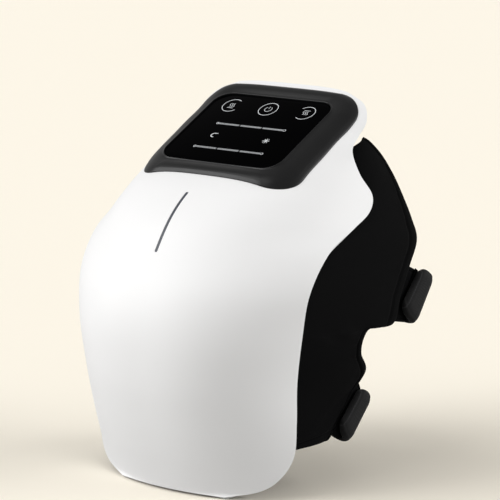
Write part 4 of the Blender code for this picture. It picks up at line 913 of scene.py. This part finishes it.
def strapPath(closure):
    # Centre line and width direction, from the free end to the ring round the pin
    thick = strapShape["thick"]
    foldRadius = earShape["thick"] / 2 + 2 * strapShape["gap"] + tapeShape["thick"] + thick / 2
    ringRadius = strapShape["pin"] + strapShape["pinClearance"] + thick / 2
    fold, pin = closure["fold"], closure["pin"]
    along, back = lineAxes(closure["foldTilt"])
    pinAlong, pinBack = lineAxes(closure["pinTilt"])
    endSteps, foldSteps = strapShape["endSteps"], strapShape["foldSteps"]
    kneeSteps, ringSteps = strapShape["kneeSteps"], strapShape["ringSteps"]
    path = [(fold + sideways * foldRadius - back * closure["end"] * (1 - k / endSteps), along)
            for k in range(endSteps)]
    for k in range(foldSteps + 1):
        angle = math.pi / 2 * k / foldSteps
        path.append((fold + (sideways * math.cos(angle) + back * math.sin(angle)) * foldRadius, along))
    start, end = path[-1][0], pin + pinBack * ringRadius
    for k in range(1, kneeSteps):
        share = k / kneeSteps
        tilt = closure["foldTilt"] + (closure["pinTilt"] - closure["foldTilt"]) * smooth(0, 1, share)
        swing = Vector((0, closure["bulge"] * math.sin(math.pi * share) ** strapShape["bulgePower"], 0))
        path.append((start.lerp(end, share) + swing, lineAxes(tilt)[0]))
    for k in range(ringSteps + 1):
        angle = math.pi / 2 + strapShape["ringTurn"] * k / ringSteps
        path.append((pin + (sideways * math.cos(angle) + pinBack * math.sin(angle)) * ringRadius, pinAlong))
    return path


def strapPiece(name, closure):
    path = strapPath(closure)
    last = len(path) - 1
    lengths = [0.0]
    for k in range(last):
        lengths.append(lengths[-1] + (path[k + 1][0] - path[k][0]).length)
    half, thick = strapShape["width"] / 2, strapShape["thick"] / 2
    freeBack = lineAxes(closure["foldTilt"])[1]
    edgeDeep, edgePlace, edgeWide = strapShape["edgeSeam"]
    endDeep, endPlace, endWide = strapShape["endSeam"]

    def pointAt(u, v):
        k = round(u * last)
        centre, width = path[k]
        way = path[min(k + 1, last)][0] - path[max(k - 1, 0)][0]
        out = way.cross(width).normalized()
        run, left = lengths[k], lengths[-1] - lengths[k]
        wide = half - strapShape["corner"] * (1 - rollShare(run, strapShape["corner"]))
        endFull = max(rollShare(run, strapShape["endRound"]), strapShape["leastEnd"])
        endFull *= max(rollShare(left, strapShape["ringRound"]), strapShape["leastEnd"])
        padding = strapShape["padding"] * (1 - smooth(*strapShape["paddingEnds"], run))
        around = (v * 2) % 2
        front = around < 1
        across = eased(around if front else 2 - around)
        edge = min(across, 1 - across) * 2 * wide
        full = rollShare(edge, strapShape["edgeRound"]) * endFull
        padding *= rollShare(run, strapShape["puff"]) * rollShare(edge, strapShape["puff"])
        groove = edgeDeep * ridge(edge - edgePlace, edgeWide) + endDeep * ridge(run - endPlace, endWide)
        centre = centre - freeBack * closure["flare"] * (1 - smooth(0, closure["end"], run)) * (1 - across)
        height = (thick + padding - groove) * full if front else -(thick - groove * 0.5) * full
        return centre + width * wide * (2 * across - 1) + out * height

    piece = gridPiece(name, last, strapShape["crossSteps"], pointAt)
    closeSeams(piece)
    return piece


def addLugs(ear, closure):
    # Two lugs that hold the pin, joined to the left tab and bored through
    pinAlong, pinBack = lineAxes(closure["pinTilt"])
    turn = Matrix((sideways, pinBack, pinAlong)).transposed().to_4x4()
    bore = strapShape["pin"] + strapShape["gap"]
    lugHalf = bore + lugShape["wall"]
    deep = earShape["setback"] + earShape["margin"] + lugHalf
    for end in (-1, 1):
        reach = strapShape["width"] / 2 + lugShape["clearance"] + lugShape["length"] / 2
        place = closure["pin"] + pinAlong * end * reach + pinBack * (lugHalf - deep / 2)
        lug = roundedPlate("lug", lugHalf, deep / 2, lugShape["corner"], -lugShape["length"] / 2,
                           lugShape["length"] / 2, Matrix.Translation(place) @ turn, rim=lugShape["rim"])
        joinWith(ear, lug)
    rod = startFrom(bpy.ops.mesh.primitive_cylinder_add, "bore", vertices=40, radius=bore, depth=60 * mm)
    rod.data.transform(Matrix.Translation(closure["pin"]) @ turn)
    cutWith(ear, rod)


for level, closure in closures.items():
    along, back = lineAxes(closure["foldTilt"])
    word = level.capitalize()
    for side, hand in ((1, "right"), (-1, "left")):
        ear = earPiece("ear" + word + hand.capitalize(), closure, side)
        if side < 0:
            addLugs(ear, closure)
        dress(ear, fabrics["hemFabric"], "fabric_black", replaced=("ear_" + level + "_" + hand,),
              smoothAngle=50)
    tapeX = closure["fold"].x + earShape["thick"] / 2 + strapShape["gap"]
    half = strapShape["width"] / 2 - tapeShape["inset"]

    def tapeSurface(u, v, closure=closure, along=along, back=back, tapeX=tapeX, half=half):
        place = closure["fold"] + along * half * (2 * u - 1) - back * closure["tape"] * (1 - v)
        return Vector((tapeX, place.y, place.z)), sideways

    tape = pillow("loopTape" + word, dict(tapeShape, spans=(2 * half, closure["tape"])), tapeSurface,
                  lambda u, v: -tapeShape["thick"], lambda u, v: 0.0)
    dress(tape, fabrics["loopTape"], "tape_black", replaced=("tape_" + level,), smoothAngle=50)
    strap = strapPiece("strap" + word, closure)
    dress(strap, strapWeb, "strap_black", body=level + "_strap", replaced=("strap_" + level,), smoothAngle=60)
print("ears, tapes and straps made")

# Knee cushion
frameShape = {
    "edgeShare": 0.955,
    "inset": 2.6 * mm,
    "seat": 5.5 * mm,
    # centre depth, centre height, side width, side way, shoulder width, shoulder way, edge depth
    "rows": (
        (0.610, 0.000, 0.86, 0.40, 0.62, 0.82, 0.35),
        (0.608, 0.019, 0.80, 0.40, 0.55, 0.84, 0.35),
        (0.595, 0.053, 0.78, 0.42, 0.54, 0.86, 0.38),
        (0.560, 0.116, 0.84, 0.46, 0.66, 0.92, 1.05),
        (0.495, 0.202, 0.90, 0.52, 0.78, 1.04, 1.00),
        (0.423, 0.308, 0.92, 0.55, 0.80, 1.14, 1.00),
        (0.396, 0.424, 0.92, 0.55, 0.80, 1.18, 1.00),
        (0.414, 0.530, 0.92, 0.55, 0.80, 1.16, 1.10),
        (0.486, 0.626, 0.90, 0.55, 0.80, 1.10, 1.42),
        (0.580, 0.690, 0.88, 0.55, 0.78, 1.00, 1.48),
        (0.668, 0.736, 0.87, 0.55, 0.76, 0.98, 1.45),
        (0.742, 0.776, 0.87, 0.55, 0.76, 0.98, 1.45),
        (0.806, 0.814, 0.88, 0.55, 0.76, 0.98, 1.25),
        (0.862, 0.852, 0.92, 0.55, 0.76, 0.98, 1.00),
        (0.908, 0.888, 0.92, 0.55, 0.74, 0.98, 0.60),
        (0.950, 0.920, 0.92, 0.55, 0.72, 0.98, 0.50),
        (0.984, 0.944, 0.92, 0.55, 0.76, 0.98, 0.50),
        (1.003, 0.968, 0.92, 0.55, 0.78, 0.98, 0.60),
    ),
}


@functools.lru_cache(maxsize=None)
def frameSection(row):
    deep, high, sideWide, sideWay, shoulderWide, shoulderWay, sink = splineValue(frameShape["rows"], row)
    share = frameShape["edgeShare"]
    under = frameShape["inset"] + frameShape["seat"] * sink
    edge = shellPoint(row, share) - shellNormal(row, share) * under
    edge.z = max(edge.z, 0)
    centre = Vector((0, deep * shellShape["depth"], high * shellShape["height"]))
    half = []
    for width, way in ((1, 0), (sideWide, sideWay), (shoulderWide, shoulderWay)):
        half.append(Vector((edge.x * width, edge.y + (centre.y - edge.y) * way,
                            edge.z + (centre.z - edge.z) * min(way, 1))))
    return half + [centre] + [Vector((-p.x, p.y, p.z)) for p in reversed(half)]


def framePoint(row, over):
    # A point of the inner frame's back: over runs from 0 at the right edge to 1 at the left edge
    return Vector(splineValue(frameSection(row), 6 * over))


innerFrame = gridPiece("innerFrame", 90, 120, lambda u, v: framePoint(topRow * v, u))
frameCuts = {"wall": 2.2 * mm, "post": 4.2 * mm, "hole": 1.8 * mm, "recess": 3.2 * mm, "head": 2.0 * mm,
             "gap": 0.3 * mm, "seat": 3.0 * mm, "slotHalf": 4.0 * mm, "slotHigh": 2.8 * mm,
             "slotCorner": 1.2 * mm, "slotDepths": (-6.0 * mm, 3.0 * mm), "reach": 40 * mm, "behind": 200 * mm}


def standingRod(name, radius, x, z, near, far):
    # A rod along the Y axis
    rod = startFrom(bpy.ops.mesh.primitive_cylinder_add, name, vertices=32, radius=radius, depth=far - near)
    rod.data.transform(Matrix.Translation((x, (near + far) / 2, z)) @ Matrix.Rotation(math.pi / 2, 4, "X"))
    return rod


screwPlaces = []
for number in (1, 2, 3, 4):  # the back's depth over each screw, before the sheet has its thickness
    low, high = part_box("case_screw_" + str(number))
    screw = (low + high) / 2 - moved
    above = Vector((screw.x, frameCuts["behind"], screw.z))
    found, place, *_ = innerFrame.ray_cast(above, Vector((0, -1, 0)))
    seat = high.y - moved.y - frameCuts["head"] - frameCuts["gap"]
    screwPlaces.append((screw.x, screw.z, place.y, seat))
applyModifier(innerFrame, "SOLIDIFY", thickness=frameCuts["wall"], offset=-1)
for x, z, back, seat in screwPlaces:
    deep = frameCuts["seat"]
    end = back - frameCuts["wall"] / 2
    joinWith(innerFrame, standingRod("post", frameCuts["post"], x, z, seat - deep, end))
    cutWith(innerFrame, standingRod("recess", frameCuts["recess"], x, z, seat, back + frameCuts["reach"]))
    cutWith(innerFrame, standingRod("hole", frameCuts["hole"], x, z, seat - 2 * deep, seat + deep))
low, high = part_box("charge_socket")
socket = (low + high) / 2 - moved
slotMatrix = Matrix.Translation((0, high.y - moved.y, socket.z)) @ Matrix.Rotation(math.pi / 2, 4, "X")
slot = roundedPlate("slot", frameCuts["slotHalf"], frameCuts["slotHigh"] / 2, frameCuts["slotCorner"],
                    *frameCuts["slotDepths"], slotMatrix)
cutWith(innerFrame, slot)
dress(innerFrame, plastics["frameBlack"], "frame_black", replaced=("inner_frame",), smoothAngle=40)
print("inner frame made")

cushion = {
    "rows": (0.165, 0.790), "over": (0.305, 0.695), "spans": (150 * mm, 112 * mm), "low": 10.7 * mm,
    "cover": 2.4 * mm, "crown": 3.0 * mm, "base": 0.9 * mm, "rim": 0.8 * mm, "roll": 5.2 * mm,
    "rise": (0.25, 0.95), "channels": (5 / 14, 9 / 14), "channelWidth": 3.2 * mm, "channelDepth": 0.85,
    "seams": (0.2, 0.4, 0.6, 0.8), "seamWidth": 1.1 * mm, "seamDepth": 0.8 * mm, "seamEnd": 0.03,
    "foam": (-0.9 * mm, -8.7 * mm), "foamInset": (0.05, 0.08),
}


def cushionPoint(along, over):
    row = topRow * (cushion["rows"][0] + (cushion["rows"][1] - cushion["rows"][0]) * along)
    return framePoint(row, cushion["over"][0] + (cushion["over"][1] - cushion["over"][0]) * over)


cushionSurface = surfaceWith(cushionPoint)


def skirtShare(along, over):
    return min(rollShare(distance, cushion["roll"])
               for distance in edgeDistances(along, over, cushion["spans"]))


def coverNear(along, over):
    rise = smooth(*cushion["rise"], skirtShare(along, over))
    return -cushion["base"] - (cushion["low"] - cushion["base"]) * rise


def coverFar(along, over):
    long, wide = cushion["spans"]
    first, last = cushion["channels"]
    swell = math.sqrt(max(math.sin(math.pi * along) * math.sin(math.pi * over), 0))
    groove = max(ridge((over - line) * wide, cushion["channelWidth"]) for line in (first, last))
    seams = max(ridge((along - line) * long, cushion["seamWidth"]) for line in cushion["seams"])
    seams *= plateau(over, first, first + cushion["seamEnd"], last - cushion["seamEnd"], last)
    crown = cushion["crown"] * swell * (1 - cushion["channelDepth"] * groove)
    top = cushion["low"] + cushion["cover"] + crown - cushion["seamDepth"] * seams
    foot = cushion["base"] + cushion["rim"]
    return -foot - (top - foot) * skirtShare(along, over)


def coverPoint(u, v):
    along, over, front = bothSides(u, v)
    point, normal = cushionSurface(along, over)
    return point - normal * (coverNear(along, over) if front else coverFar(along, over))


def slab(name, steps, surface, near, far, window):
    # A thin closed layer between two depths over a window of a surface
    def pointAt(u, v):
        around = v * 4
        if around < 1:
            over, depth = 0.0, near + (far - near) * around
        elif around < 2:
            over, depth = around - 1, far
        elif around < 3:
            over, depth = 1.0, far + (near - far) * (around - 2)
        else:
            over, depth = 4 - around, near
        point, normal = surface(window[0] + (1 - 2 * window[0]) * u, window[1] + (1 - 2 * window[1]) * over)
        return point - normal * depth

    piece = gridPiece(name, steps[0], steps[1] * 4, pointAt)
    editAll(piece)
    bpy.ops.mesh.remove_doubles(threshold=samePlace)
    bpy.ops.mesh.select_all(action="DESELECT")
    bpy.ops.mesh.select_non_manifold()
    bpy.ops.mesh.fill_holes(sides=0)
    bpy.ops.mesh.select_all(action="SELECT")
    bpy.ops.mesh.quads_convert_to_tris()
    turnOutwards()
    return piece


cover = gridPiece("kneeCover", 130, 200, coverPoint)
closeSeams(cover)
# The near and far sides part at the rim, so the open rim is closed by the cover's own turned edge
editAll(cover)
bpy.ops.mesh.select_all(action="DESELECT")
bpy.ops.mesh.select_non_manifold()
bpy.ops.mesh.bridge_edge_loops()
bpy.ops.mesh.select_all(action="SELECT")
turnOutwards()
dress(cover, fabrics["coverFabric"], "fabric_black", replaced=("knee_cover",), smoothAngle=70)
foam = slab("kneeFoam", (40, 10), cushionSurface, *cushion["foam"], cushion["foamInset"])
dress(foam, foamOpen, "foam_grey", replaced=("foam_pad",), smoothAngle=40)
print("cushion made")

# CAD pieces that keep their shape and get their real finish
keptFinishes = (
    (plastics["frameBlack"], "base_plate"),
    (boardMask, "touch_board led_board main_board"),
    (heatingFilm, "heat_film"),
    (plastics["partWhite"], "chassis pump_head valve_body"),
    (plastics["cellBlue"], "battery_cell_lower battery_cell_upper"),
    (plastics["hoseClear"], "air_hose"),
    (plastics["footRubber"], "foot_1 foot_2 foot_3 foot_4"),
    (metals["steelBright"], "pump_motor valve_plunger valve_spring shaker_right shaker_left"),
    (metals["steelBright"], "case_screw_1 case_screw_2 case_screw_3 case_screw_4"),
    (metals["steelDark"], "charge_socket pin_upper pin_lower"),
    (metals["brassPlain"], "pump_crank weight_right weight_left"),
)
for material, nodes in keptFinishes:
    for node in nodes.split():
        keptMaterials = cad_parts[node].data.materials
        keptMaterials.clear()
        keptMaterials.append(material)
print("kept pieces finished")

# Floor, lamps and camera
stageLook = {"floor": (0.475, 0.468, 0.451), "floorSeen": (0.982, 0.925, 0.811), "floorSize": 30,
             "worldColour": (1.0, 0.99, 0.975), "worldStrength": 0.412, "sunWidth": 50,
             # azimuth, height and strength
             "suns": {"keySun": (-30, 50, 0.73), "sideSun": (120, 20, 1.93), "lowSun": (-45, 20, 1.88)}}
floor = startFrom(bpy.ops.mesh.primitive_plane_add, "floor", size=stageLook["floorSize"])
floorPaint = bpy.data.materials.new("floorPaint")
floorPaint.use_nodes = True
floorNodes = floorPaint.node_tree.nodes
floorNodes.clear()
paper = floorNodes.new("ShaderNodeBsdfDiffuse")
tint = floorNodes.new("ShaderNodeMixRGB")
ray = floorNodes.new("ShaderNodeLightPath")
surface = floorNodes.new("ShaderNodeOutputMaterial")
tint.inputs["Color1"].default_value = (*stageLook["floor"], 1)
tint.inputs["Color2"].default_value = (*stageLook["floorSeen"], 1)
floorPaint.node_tree.links.new(ray.outputs["Is Camera Ray"], tint.inputs["Fac"])
floorPaint.node_tree.links.new(tint.outputs[0], paper.inputs["Color"])
floorPaint.node_tree.links.new(paper.outputs[0], surface.inputs["Surface"])
floor.data.materials.append(floorPaint)

world = bpy.data.worlds.new("studio")
bpy.context.scene.world = world
world.use_nodes = True
sky = world.node_tree.nodes["Background"]
sky.inputs["Color"].default_value = (*stageLook["worldColour"], 1)
sky.inputs["Strength"].default_value = stageLook["worldStrength"]


def aimFrom(thing, azimuth, height):
    # Turns a lamp or camera to look inwards from a direction given in degrees
    turn, rise = math.radians(azimuth), math.radians(height)
    way = Vector((math.sin(turn) * math.cos(rise), -math.cos(turn) * math.cos(rise), math.sin(rise)))
    thing.rotation_euler = (-way).to_track_quat("-Z", "Y").to_euler()


for name, (azimuth, height, strength) in stageLook["suns"].items():
    bpy.ops.object.light_add(type="SUN", location=(0, 0, 2))
    sun = bpy.context.active_object
    sun.name = name
    sun.data.energy = strength
    sun.data.angle = math.radians(stageLook["sunWidth"])
    aimFrom(sun, azimuth, height)

cameraLook = {"place": Vector((885.4, -1052.6, 393.7)) * mm, "azimuth": 38.2, "elevation": 10.85,
              "lens": 190.8, "sensor": 36, "farthest": 100}
bpy.ops.object.camera_add(location=cameraLook["place"] + moved)
camera = bpy.context.active_object
aimFrom(camera, cameraLook["azimuth"], cameraLook["elevation"])
camera.data.lens = cameraLook["lens"]
camera.data.sensor_width = cameraLook["sensor"]
camera.data.clip_end = cameraLook["farthest"]
bpy.context.scene.camera = camera
bpy.context.scene.view_settings.view_transform = "Standard"
print("stage made")
